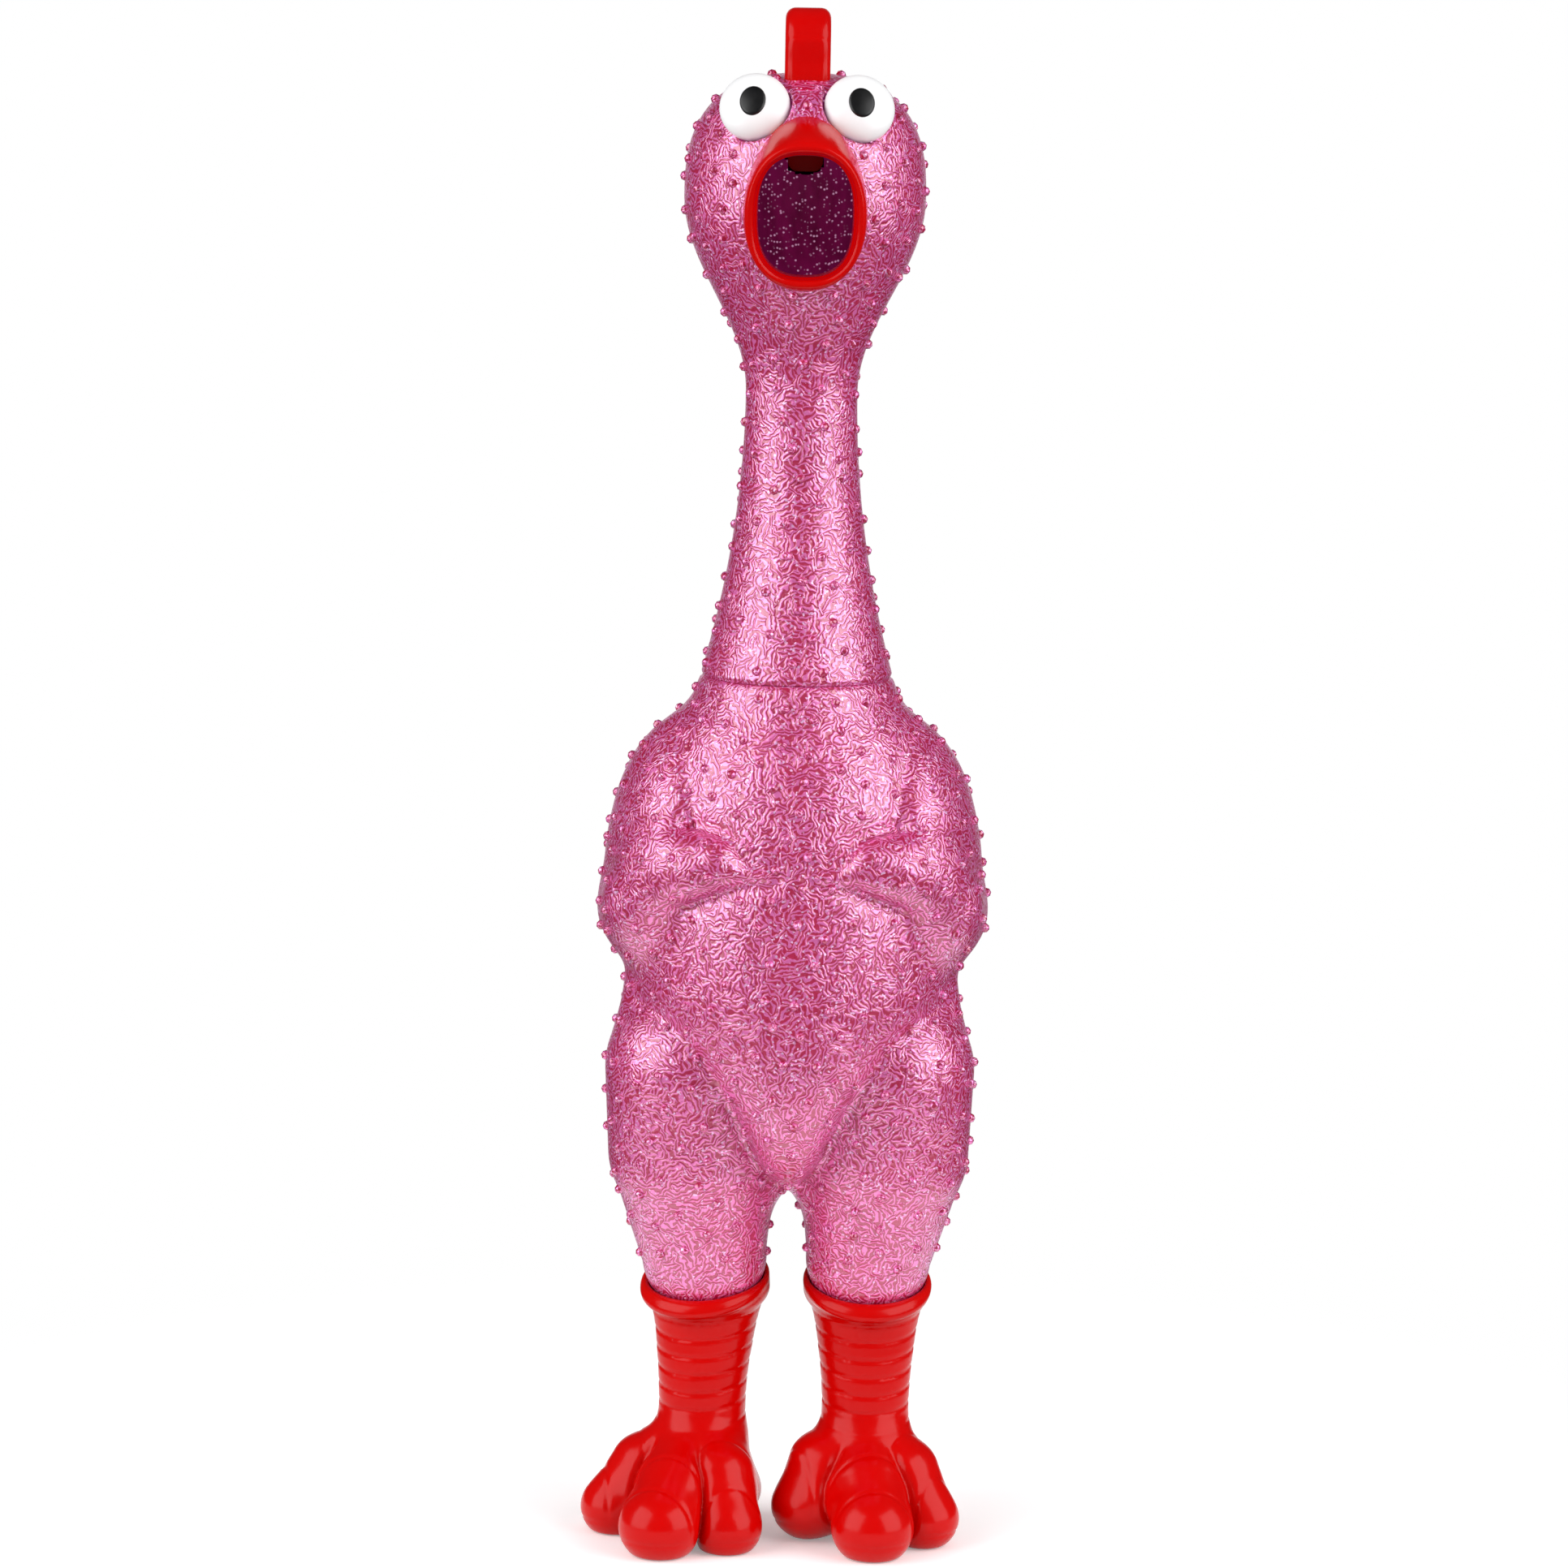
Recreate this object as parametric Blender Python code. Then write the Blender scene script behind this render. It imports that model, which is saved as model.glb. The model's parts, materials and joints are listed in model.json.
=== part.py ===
"""A hollow rubber chicken that stands on two boots and squawks through a reed in its neck.

Metres, +Z up, soles at z = 0, front towards -Y, the chicken's own left side at +X.
"""

import math

import bmesh
import bpy
import numpy as np
from mathutils import Matrix, Vector

for old in list(bpy.data.objects):
    bpy.data.objects.remove(old, do_unlink=True)

# Heights, each measured on from the one before it
ANKLE_HEIGHT = 0.0745
LEG_LENGTH = 0.0475
HIP_TO_SEAM = 0.1045
NECK_LENGTH = 0.0755
HEAD_TAPER = 0.0500
HEAD_RISE = 0.0315
COMB_RISE = 0.0165

# Walls and gaps
WALL = 0.0026
SEAT_GAP = 0.0003
JOINT_GAP = 0.0004
SEGMENTS = 32

# Trunk, from the neck seam down to the crotch
TRUNK_LENGTH = 0.1335
SEAM_RADIUS = 0.0242
TRUNK_HALF_WIDTH = 0.0425
TRUNK_FRONT = 0.0410
TRUNK_BACK = 0.0355
COLLAR_DEPTH = 0.0165
SEAT_WIDTH = 0.0087
COLLAR_RELIEF = 0.0010

# Wings, folded against the breast
WING_DROP = 0.0400
WING_SINK = 0.0065
WING_LEAN = 12.0
WING_LENGTH = 0.0300
WING_THICKNESS = 0.0120
WING_DEPTH = 0.0200
HAND_DROP = 0.0535
HAND_ROUND = 43.0
HAND_SINK = 0.0030
HAND_SWEEP = 40.0
HAND_RISE = 12.0
HAND_LENGTH = 0.0225
HAND_THICKNESS = 0.0105

# Tail stub
TAIL_DROP = 0.0960
TAIL_LENGTH = 0.0075
TAIL_RADIUS = 0.0120

# Legs
HIP_SPLAY = 0.0038
HIP_FRONT = 0.0040
HIP_RADIUS = 0.0218
ANKLE_RADIUS = 0.0164
THIGH_SWELL = 0.0017

# Neck
NECK_RADIUS = 0.0141
NECK_WALL = 0.0032
NECK_PIVOT_RISE = 0.0100
HEAD_PIVOT_RISE = 0.0060
HEAD_BORE = 0.0090

# Head
HEAD_HALF_WIDTH = 0.0310
HEAD_HALF_DEPTH = 0.0300
CROWN_SQUARENESS = 2.5

# Beak, about the middle of the mouth
MOUTH_DROP = 0.0037
MOUTH_HALF_WIDTH = 0.0121
MOUTH_HALF_HEIGHT = 0.0152
LIP = 0.0030
BILL_POINT = 0.0070
BILL_FLARE = 0.0006
UPPER_BILL_REACH = 0.0120
LOWER_BILL_REACH = 0.0050
SPIGOT_WALL = 0.0018
SPIGOT_REACH = 0.0055

# Comb
COMB_THICKNESS = 0.0116
COMB_LOBE_RADIUS = 0.0085
COMB_LOBE_OVERLAP = 0.0040
COMB_LOBE_FALL = 0.0016
COMB_FRONT_ANGLE = -8.0
COMB_LOBES = 5
TENON_FRONT = -0.0060
TENON_THICKNESS = 0.0070
TENON_LENGTH = 0.0180
TENON_DEPTH = 0.0050

# Eyes
EYE_RADIUS = 0.0088
EYE_DEPTH = 0.0062
EYE_SINK = 0.0014
EYE_ROUND = 39.3
EYE_UP = 48.8
GAZE_OUT = 0.20
GAZE_UP = 0.34
PUPIL_RADIUS = 0.0036
PUPIL_SET = 0.0014
PUPIL_PROUD = 0.0004

# Boots
CUFF_TILT = 14.0
CUFF_DROP = 0.0070
CUFF_WALL = 0.0012
CUFF_BEAD = 0.0017
SHAFT_WALL = 0.0030
SHAFT_RADIUS = 0.0121
INSTEP_HEIGHT = 0.0170
TOE_RADIUS = 0.0093
TOE_REACH = 0.0315
SIDE_TOE_RADIUS = 0.0082
SIDE_TOE_REACH = 0.0245
INNER_TOE_SPREAD = 38.0
LEFT_OUTER_SPREAD = 38.0
RIGHT_OUTER_SPREAD = 56.0
HEEL_RADIUS = 0.0125
HEEL_BACK = 0.0060
BRIDGE_HALF_WIDTH = 0.0165
BRIDGE_HALF_LENGTH = 0.0200
BRIDGE_RISE = 0.0130
BRIDGE_FRONT = 0.0060
SOLE_FLAT = 0.0009
BOOT_WALL = 0.0041
FEET_GAP = 0.0043
LEFT_TURN = 3.0
RIGHT_TURN = -18.0

# Squeaker, pushed up the neck from below
SQUEAKER_RISE = 0.0270
BARREL_WALL = 0.0018
BARREL_HEADROOM = 0.0072
FLANGE_WIDTH = 0.0028
FLANGE_THICKNESS = 0.0024
CAP_THICKNESS = 0.0016
CAP_SPIGOT = 0.0030
CAP_VENT = 0.0048
PLUG_LENGTH = 0.0070
PLUG_LIP = 0.0014
TONGUE_CLEARANCE = 0.0050
TROUGH_WIDTH = 0.0056
TROUGH_DEPTH = 0.0040
REED_WIDTH = 0.0090
REED_OVERHANG = 0.0015
REED_TAB = 0.0015
REED_THICKNESS = 0.0005
WEDGE_LENGTH = 0.0060

# Levels and pivots worked out from the heights
HIP_Z = ANKLE_HEIGHT + LEG_LENGTH
SEAM_Z = HIP_Z + HIP_TO_SEAM
HEAD_JOINT_Z = SEAM_Z + NECK_LENGTH
HEAD_Z = HEAD_JOINT_Z + HEAD_TAPER
MOUTH_Z = HEAD_Z - MOUTH_DROP
NECK_PIVOT_Z = SEAM_Z + NECK_PIVOT_RISE
NECK_BALL = math.hypot(SEAM_RADIUS, NECK_PIVOT_RISE)
HEAD_PIVOT_Z = HEAD_JOINT_Z + HEAD_PIVOT_RISE
HEAD_BALL = math.hypot(NECK_RADIUS, HEAD_PIVOT_RISE)
SHOULDER_Z = SEAM_Z + SQUEAKER_RISE
NECK_FOOT_BORE = SEAM_RADIUS - SEAT_WIDTH
COLLAR_BORE = NECK_FOOT_BORE + COLLAR_RELIEF
BARREL_RADIUS = NECK_RADIUS - NECK_WALL - SEAT_GAP
BARREL_BORE = BARREL_RADIUS - BARREL_WALL
FLANGE_RADIUS = BARREL_RADIUS + FLANGE_WIDTH
COMB_LOBE_STEP = 2 * COMB_LOBE_RADIUS - COMB_LOBE_OVERLAP
LIP_HALF_WIDTH = MOUTH_HALF_WIDTH + LIP
LIP_HALF_HEIGHT = MOUTH_HALF_HEIGHT + LIP

# The legs stand as far apart as the inner toes need
LEFT_INNER = SIDE_TOE_REACH * math.sin(math.radians(INNER_TOE_SPREAD - LEFT_TURN)) + SIDE_TOE_RADIUS
RIGHT_INNER = SIDE_TOE_REACH * math.sin(math.radians(INNER_TOE_SPREAD + RIGHT_TURN)) + SIDE_TOE_RADIUS
ANKLE_SPREAD = (LEFT_INNER + RIGHT_INNER + FEET_GAP) / 2
HIP_SPREAD = ANKLE_SPREAD + HIP_SPLAY


def material(name, colour, roughness, metallic=0.0):
    """A plain Principled material."""
    made = bpy.data.materials.new(name)
    made.use_nodes = True
    shader = made.node_tree.nodes["Principled BSDF"]
    shader.inputs["Base Color"].default_value = (*colour, 1.0)
    shader.inputs["Roughness"].default_value = roughness
    shader.inputs["Metallic"].default_value = metallic
    return made


def mesh_from(bm):
    """A mesh made from a bmesh, with its faces turned outwards."""
    bmesh.ops.remove_doubles(bm, verts=bm.verts, dist=1e-7)
    bmesh.ops.recalc_face_normals(bm, faces=bm.faces)
    mesh = bpy.data.meshes.new("piece")
    bm.to_mesh(mesh)
    bm.free()
    return mesh


def spun(outline, closed=False, steps=SEGMENTS):
    """A solid of revolution about Z from (radius, height) points, a closed loop or pole to pole."""
    bm = bmesh.new()
    verts = [bm.verts.new((radius, 0.0, height)) for radius, height in outline]
    pairs = list(zip(verts, verts[1:]))
    if closed:
        pairs.append((verts[-1], verts[0]))
    edges = [bm.edges.new(pair) for pair in pairs]
    bmesh.ops.spin(
        bm, geom=verts + edges, cent=(0, 0, 0), axis=(0, 0, 1), angle=math.tau, steps=steps, use_merge=True
    )
    return mesh_from(bm)


def lofted(rings):
    """A solid skinned over rings of equal point count, closed by a flat face at each end."""
    bm = bmesh.new()
    loops = [[bm.verts.new(point) for point in ring] for ring in rings]
    count = len(loops[0])
    for low, high in zip(loops, loops[1:]):
        for i in range(count):
            j = (i + 1) % count
            bm.faces.new((low[i], low[j], high[j], high[i]))
    bm.faces.new(loops[0][::-1])
    bm.faces.new(loops[-1])
    return mesh_from(bm)


def block(low, high):
    """A box between two corners."""
    low, high = Vector(low), Vector(high)
    bm = bmesh.new()
    bmesh.ops.create_cube(bm, size=1.0)
    size = Matrix.Diagonal((*(high - low), 1.0))
    bmesh.ops.transform(bm, matrix=Matrix.Translation((low + high) / 2) @ size, verts=bm.verts)
    return mesh_from(bm)


def ball(centre, radii, turn=None, steps=SEGMENTS):
    """An ellipsoid with the given half axes, turned about its centre."""
    bm = bmesh.new()
    bmesh.ops.create_uvsphere(bm, u_segments=steps, v_segments=steps // 2, radius=1.0)
    pose = Matrix.Translation(centre) @ (turn or Matrix()) @ Matrix.Diagonal((*radii, 1.0))
    bmesh.ops.transform(bm, matrix=pose, verts=bm.verts)
    return mesh_from(bm)


def placed(mesh, centre, direction):
    """Stands a mesh made about Z at a point, with its Z axis along a direction."""
    turn = Vector(direction).to_track_quat("Z", "Y").to_matrix().to_4x4()
    mesh.transform(Matrix.Translation(centre) @ turn)
    return mesh


def drumstick(root, tip, root_radius, tip_radius, swell=0.0, steps=SEGMENTS):
    """A round limb between two points, ending in a half ball at each, swollen at mid length."""
    root, tip = Vector(root), Vector(tip)
    length = (root - tip).length
    quarter = np.linspace(0.0, math.pi / 2, steps // 5 + 1)
    along = np.linspace(0.0, 1.0, steps // 5 + 1)[1:-1]
    girth = tip_radius + (root_radius - tip_radius) * along + swell * 4 * along * (1 - along)
    outline = [(tip_radius * math.sin(a), -tip_radius * math.cos(a)) for a in quarter]
    outline += list(zip(girth, along * length))
    outline += [(root_radius * math.cos(a), length + root_radius * math.sin(a)) for a in quarter]
    return placed(spun(outline, steps=steps), tip, root - tip)


def combine(base, *steps):
    """The base mesh after each (operation, mesh) step of an exact Boolean."""
    work = []
    for mesh in (base, *(tool for _, tool in steps)):
        work.append(bpy.data.objects.new("work", mesh))
        bpy.context.scene.collection.objects.link(work[-1])
    for (operation, _), tool in zip(steps, work[1:]):
        modifier = work[0].modifiers.new(operation, "BOOLEAN")
        modifier.operation = operation
        modifier.solver = "EXACT"
        modifier.object = tool
    graph = bpy.context.evaluated_depsgraph_get()
    result = bpy.data.meshes.new_from_object(work[0].evaluated_get(graph))
    for thing in work:
        bpy.data.objects.remove(thing)
    return result


def pivot(name, place, parent=None):
    """An empty at a place in the chicken's frame."""
    empty = bpy.data.objects.new(name, None)
    bpy.context.scene.collection.objects.link(empty)
    empty["place"] = place
    if parent:
        empty.parent = parent
        empty.location = Vector(place) - Vector(parent["place"])
    return empty


def piece(name, mesh, look, parent):
    """A finished piece, its origin on the pivot that carries it."""
    mesh.transform(Matrix.Translation(-Vector(parent["place"])))
    mesh.materials.clear()
    mesh.materials.append(look)
    mesh.shade_smooth()
    mesh.set_sharp_from_angle(angle=math.radians(35))
    made = bpy.data.objects.new(name, mesh)
    made.parent = parent
    bpy.context.scene.collection.objects.link(made)
    return made


def smooth_rows(rows, stops):
    """Profile rows read at stops along their first column, by a cubic through each other column."""
    rows = np.array(rows)
    slopes = np.gradient(rows[:, 1:], rows[:, 0], axis=0)
    at = np.clip(np.searchsorted(rows[:, 0], stops, side="right") - 1, 0, len(rows) - 2)
    span = (rows[at + 1, 0] - rows[at, 0])[:, None]
    t = (stops - rows[at, 0])[:, None] / span
    low, high = rows[at, 1:], rows[at + 1, 1:]
    bend = t * (1 - t) * span * ((1 - t) * slopes[at] - t * slopes[at + 1])
    ease = t * t * (3 - 2 * t)
    mid = low + (high - low) * ease + bend
    return np.column_stack([stops, mid])


def trunk(grow, top, bottom, levels, steps):
    """The trunk's outer skin moved out by grow, between two heights."""
    w, f, b = TRUNK_HALF_WIDTH, TRUNK_FRONT, TRUNK_BACK
    s = SEAM_RADIUS
    rows = [
        (0.000, s, s, s),
        (0.034, s + 0.13 * (w - s), s + 0.12 * (f - s), s + 0.15 * (b - s)),
        (0.094, s + 0.44 * (w - s), s + 0.34 * (f - s), s + 0.38 * (b - s)),
        (0.160, s + 0.70 * (w - s), s + 0.58 * (f - s), s + 0.60 * (b - s)),
        (0.273, s + 0.92 * (w - s), s + 0.82 * (f - s), s + 0.82 * (b - s)),
        (0.410, w, s + 0.94 * (f - s), s + 0.91 * (b - s)),
        (0.558, w, f, s + 0.95 * (b - s)),
        (0.685, 0.95 * w, 0.99 * f, b),
        (0.800, 0.77 * w, 0.93 * f, 0.97 * b),
        (0.888, 0.54 * w, 0.83 * f, 0.85 * b),
        (0.955, 0.31 * w, 0.66 * f, 0.60 * b),
        (1.000, 0.08 * w, 0.42 * f, 0.10 * b),
    ]
    angle = np.linspace(0.0, math.tau, steps, endpoint=False)
    rings = []
    stops = np.linspace((SEAM_Z - top) / TRUNK_LENGTH, (SEAM_Z - bottom) / TRUNK_LENGTH, levels)
    for share, width, front, back in smooth_rows(rows, stops):
        z = SEAM_Z - share * TRUNK_LENGTH
        width, front, back = (max(size + grow, 0.0012) for size in (width, front, back))
        depth = np.where(np.sin(angle) < 0, front, back)
        level = np.full_like(angle, z)
        rings.append(np.column_stack([width * np.cos(angle), depth * np.sin(angle), level]))
    return lofted(rings[::-1])


def head_size(z):
    """Half width and half depth of the head at a height between its joint and its crown."""
    if z < HEAD_Z:
        share = (1 + math.cos(math.pi * (HEAD_Z - z) / HEAD_TAPER)) / 2
        halves = (HEAD_HALF_WIDTH, HEAD_HALF_DEPTH)
        return tuple(NECK_RADIUS + (half - NECK_RADIUS) * share for half in halves)
    rise = min((z - HEAD_Z) / HEAD_RISE, 1.0)
    share = (1 - rise**CROWN_SQUARENESS) ** (1 / CROWN_SQUARENESS)
    return HEAD_HALF_WIDTH * share, HEAD_HALF_DEPTH * share


def head_solid(grow, with_ball, levels=10, steps=SEGMENTS):
    """The head's outer skin moved out by grow, with or without the ball end under its joint."""
    rings = []
    if with_ball:
        lowest = math.asin(0.7 * HEAD_BORE / HEAD_BALL)
        rim = math.asin(NECK_RADIUS / HEAD_BALL)
        for a in np.linspace(lowest, rim, 6)[:-1]:
            rings.append((HEAD_BALL * math.sin(a),) * 2 + (HEAD_PIVOT_Z - HEAD_BALL * math.cos(a),))
    low = HEAD_JOINT_Z if with_ball else HEAD_JOINT_Z + WALL
    for z in np.linspace(low, HEAD_Z, levels):
        rings.append((*(half + grow for half in head_size(z)), z))
    for a in np.linspace(0.0, math.pi / 2, levels)[1:]:
        z = HEAD_Z + HEAD_RISE * math.sin(a) ** (2 / CROWN_SQUARENESS)
        halves = (max(half + grow, 0.0020 + grow / 2) for half in head_size(z))
        lift = grow * math.sin(a)
        rings.append((*halves, z + lift))
    angle = np.linspace(0.0, math.tau, steps, endpoint=False)
    loops = []
    for width, depth, z in rings:
        level = np.full_like(angle, z)
        loops.append(np.column_stack([width * np.cos(angle), depth * np.sin(angle), level]))
    return lofted(loops)


def mouth_ring(y_top, y_bottom, half_width, top, bottom, point=0.0, count=SEGMENTS):
    """An egg outline round the mouth's middle, drawn in towards a point above, leaning in depth."""
    t = np.linspace(0.0, math.tau, count, endpoint=False)
    up = np.cos(t)
    x = half_width * np.sin(t) * (1 - point * np.clip(up, 0.0, None) ** 2)
    z = np.where(up > 0, top, bottom) * up
    lean = (z + bottom) / (top + bottom)
    y = y_bottom + (y_top - y_bottom) * lean
    return np.column_stack([x, y, MOUTH_Z + z])


def mouth_prism(grow, y_front, y_back):
    """A plug of the mouth's own outline, grown all round, running straight back."""
    size = (MOUTH_HALF_WIDTH + grow, MOUTH_HALF_HEIGHT + grow, MOUTH_HALF_HEIGHT + grow)
    return lofted([mouth_ring(y, y, *size) for y in (y_front, y_back)])


def boot_ring(radius, drop, tilt, count=28):
    """A circle round the leg, below the ankle's middle along an axis tilted so that its front dips."""
    angle = np.linspace(0.0, math.tau, count, endpoint=False)
    x, across = radius * np.cos(angle), radius * np.sin(angle)
    y = drop * math.sin(tilt) + across * math.cos(tilt)
    z = ANKLE_HEIGHT - drop * math.cos(tilt) + across * math.sin(tilt)
    return np.column_stack([x, y, z])


def eye_place(side):
    """The middle of an eye: sunk below the head's skin along a line from the head's middle."""
    round_by, up_by = math.radians(EYE_ROUND), math.radians(EYE_UP)
    flat = math.cos(up_by)
    line = Vector((side * flat * math.sin(round_by), -flat * math.cos(round_by), math.sin(up_by)))
    level = math.hypot(line.x / HEAD_HALF_WIDTH, line.y / HEAD_HALF_DEPTH)
    skin = (level**CROWN_SQUARENESS + (line.z / HEAD_RISE) ** CROWN_SQUARENESS) ** (-1 / CROWN_SQUARENESS)
    return Vector((0.0, 0.0, HEAD_Z)) + line * (skin - EYE_SINK)


def eye_socket(side):
    """The hollow that an eye sits in."""
    sizes = (EYE_RADIUS + SEAT_GAP, EYE_RADIUS + SEAT_GAP, EYE_DEPTH + SEAT_GAP)
    return placed(ball((0.0, 0.0, 0.0), sizes, steps=24), eye_place(side), gaze(side))


def gaze(side):
    """The way an eye looks."""
    return (side * GAZE_OUT, -1.0, GAZE_UP)


def cylinder(radius, low, high):
    """A plain cylinder about Z."""
    return spun([(0.0, low), (radius, low), (radius, high), (0.0, high)])


# Materials
PINK = material("pink_vinyl", (0.58, 0.030, 0.155), 0.30)
RED = material("red_vinyl", (0.74, 0.004, 0.002), 0.20)
WHITE = material("white_plastic", (0.86, 0.86, 0.86), 0.20)
BLACK = material("black_plastic", (0.004, 0.004, 0.005), 0.20)
CLEAR = material("pale_plastic", (0.62, 0.64, 0.66), 0.35)
REED_FILM = material("reed_film", (0.75, 0.72, 0.60), 0.30)

# Pivots
CHICKEN = pivot("chicken", (0.0, 0.0, 0.0))
NECK = pivot("neck_pivot", (0.0, 0.0, NECK_PIVOT_Z), CHICKEN)
HEAD = pivot("head_pivot", (0.0, 0.0, HEAD_PIVOT_Z), NECK)

# Torso: trunk, folded wings, tail stub and thighs in one hollow moulding
collar_floor = SEAM_Z - COLLAR_DEPTH
crotch_z = SEAM_Z - TRUNK_LENGTH
torso_steps = []
for side in (1, -1):
    lean = Matrix.Rotation(-side * math.radians(WING_LEAN), 4, "Y")
    arm_place = (side * (TRUNK_HALF_WIDTH - WING_SINK), 0.0, SEAM_Z - WING_DROP)
    arm = ball(arm_place, (WING_THICKNESS, WING_DEPTH, WING_LENGTH), lean, 20)
    hand_round = math.radians(HAND_ROUND)
    hand_x = (TRUNK_HALF_WIDTH - HAND_SINK) * math.sin(hand_round)
    hand_y = (TRUNK_FRONT - HAND_SINK) * math.cos(hand_round)
    sweep = Matrix.Rotation(side * math.radians(HAND_SWEEP), 4, "Z")
    rise = Matrix.Rotation(side * math.radians(HAND_RISE), 4, "Y")
    hand_place = (side * hand_x, -hand_y, SEAM_Z - HAND_DROP)
    hand = ball(hand_place, (HAND_LENGTH, HAND_THICKNESS, HAND_THICKNESS), sweep @ rise, 20)
    hip = (side * HIP_SPREAD, -HIP_FRONT, HIP_Z)
    ankle = (side * ANKLE_SPREAD, 0.0, ANKLE_HEIGHT)
    thigh = drumstick(hip, ankle, HIP_RADIUS, ANKLE_RADIUS, THIGH_SWELL)
    torso_steps += [("UNION", arm), ("UNION", hand), ("UNION", thigh)]
tail_z = SEAM_Z - TAIL_DROP
tail_tip_radius = 0.6 * TAIL_RADIUS
tail_root = (0.0, TRUNK_BACK - 1.2 * TAIL_RADIUS, tail_z)
tail_tip = (0.0, TRUNK_BACK + TAIL_LENGTH - tail_tip_radius, tail_z + tail_tip_radius)
torso_steps.append(("UNION", drumstick(tail_root, tail_tip, TAIL_RADIUS, tail_tip_radius, steps=16)))
torso_steps.append(("DIFFERENCE", trunk(-WALL, collar_floor, crotch_z + 3 * WALL, 18, 24)))
for side in (1, -1):
    hip = (side * HIP_SPREAD, -HIP_FRONT, HIP_Z)
    ankle = (side * ANKLE_SPREAD, 0.0, ANKLE_HEIGHT)
    hollow = drumstick(hip, ankle, HIP_RADIUS - WALL, ANKLE_RADIUS - WALL, THIGH_SWELL, 20)
    torso_steps.append(("DIFFERENCE", hollow))
torso_steps.append(("DIFFERENCE", cylinder(COLLAR_BORE, collar_floor - 2 * WALL, SEAM_Z)))
seat_radius = NECK_BALL + JOINT_GAP
torso_steps.append(("DIFFERENCE", ball((0.0, 0.0, NECK_PIVOT_Z), (seat_radius,) * 3, steps=40)))
torso = combine(trunk(0.0, SEAM_Z, crotch_z, 22, SEGMENTS), *torso_steps)
piece("torso_shell", torso, PINK, CHICKEN)

# Neck: a round tube with a ball foot on the torso and a cup for the head's ball end on top
neck_outline = []
foot_low = math.asin(NECK_FOOT_BORE / NECK_BALL)
foot_rim = math.asin(SEAM_RADIUS / NECK_BALL)
for a in np.linspace(foot_low, foot_rim, 7):
    neck_outline.append((NECK_BALL * math.sin(a), NECK_PIVOT_Z - NECK_BALL * math.cos(a)))
for t in np.linspace(0.0, 1.0, 12)[1:]:
    radius = NECK_RADIUS + (SEAM_RADIUS - NECK_RADIUS) * (1 - t) ** 2
    neck_outline.append((radius, SEAM_Z + t * NECK_LENGTH))
neck_bore = BARREL_RADIUS + SEAT_GAP
cup = HEAD_BALL + JOINT_GAP
cup_rim = math.asin(NECK_RADIUS / cup)
cup_low = math.asin(neck_bore / cup)
neck_outline[-1] = (NECK_RADIUS, HEAD_PIVOT_Z - cup * math.cos(cup_rim))
for a in np.linspace(cup_rim, cup_low, 6)[1:]:
    neck_outline.append((cup * math.sin(a), HEAD_PIVOT_Z - cup * math.cos(a)))
neck_outline.append((neck_bore, SHOULDER_Z))
neck_outline.append((FLANGE_RADIUS + SEAT_GAP, SHOULDER_Z))
neck_outline.append((FLANGE_RADIUS + SEAT_GAP, SHOULDER_Z - FLANGE_THICKNESS - CAP_THICKNESS))
inner_ball = NECK_BALL - WALL
inner_rim = math.asin((SEAM_RADIUS - 2 * WALL) / inner_ball)
inner_low = math.asin(NECK_FOOT_BORE / inner_ball)
for a in np.linspace(inner_rim, inner_low, 3):
    neck_outline.append((inner_ball * math.sin(a), NECK_PIVOT_Z - inner_ball * math.cos(a)))
piece("neck_shell", spun(neck_outline, closed=True), PINK, NECK)

# Head: a hollow egg drawn down to the neck, cut for the mouth, the eyes and the comb
face_y = -HEAD_HALF_DEPTH
crown_z = HEAD_Z + HEAD_RISE
throat = cylinder(HEAD_BORE, HEAD_JOINT_Z - HEAD_BALL, HEAD_JOINT_Z + 3 * WALL)
tenon_back = TENON_FRONT + TENON_LENGTH
slot_low = (-TENON_THICKNESS / 2 - SEAT_GAP, TENON_FRONT - SEAT_GAP, crown_z - 0.012)
slot_high = (TENON_THICKNESS / 2 + SEAT_GAP, tenon_back + SEAT_GAP, crown_z + 0.010)
head_mesh = combine(
    head_solid(0.0, True),
    ("DIFFERENCE", head_solid(-WALL, False, 8, 24)),
    ("DIFFERENCE", throat),
    ("DIFFERENCE", mouth_prism(SPIGOT_WALL + SEAT_GAP, 2 * face_y, 0.3 * face_y)),
    ("DIFFERENCE", eye_socket(1)),
    ("DIFFERENCE", eye_socket(-1)),
    ("DIFFERENCE", block(slot_low, slot_high)),
)
piece("head_shell", head_mesh, PINK, HEAD)

# Beak: a bill that flares round the mouth, with a spigot through the head's wall
bill_roots = (LIP_HALF_WIDTH + BILL_FLARE, LIP_HALF_HEIGHT + BILL_POINT, LIP_HALF_HEIGHT + BILL_FLARE)
lip_sizes = (LIP_HALF_WIDTH, LIP_HALF_HEIGHT, LIP_HALF_HEIGHT)
lip_top, lip_bottom = face_y - UPPER_BILL_REACH, face_y - LOWER_BILL_REACH
bill_rings = [mouth_ring(0.4 * face_y, 0.4 * face_y, *bill_roots, 0.35)]
for t in (0.0, 0.35, 0.7, 1.0):
    sizes = [root + (lip - root) * t for root, lip in zip(bill_roots, lip_sizes)]
    y_top, y_bottom = (0.75 * face_y * (1 - t) + reach * t for reach in (lip_top, lip_bottom))
    bill_rings.append(mouth_ring(y_top, y_bottom, *sizes, 0.35 * (1 - t) + 0.08 * t))
round_over = [size - 0.45 * LIP for size in lip_sizes]
bill_rings.append(mouth_ring(lip_top - 0.4 * LIP, lip_bottom - 0.4 * LIP, *round_over, 0.06))
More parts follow.
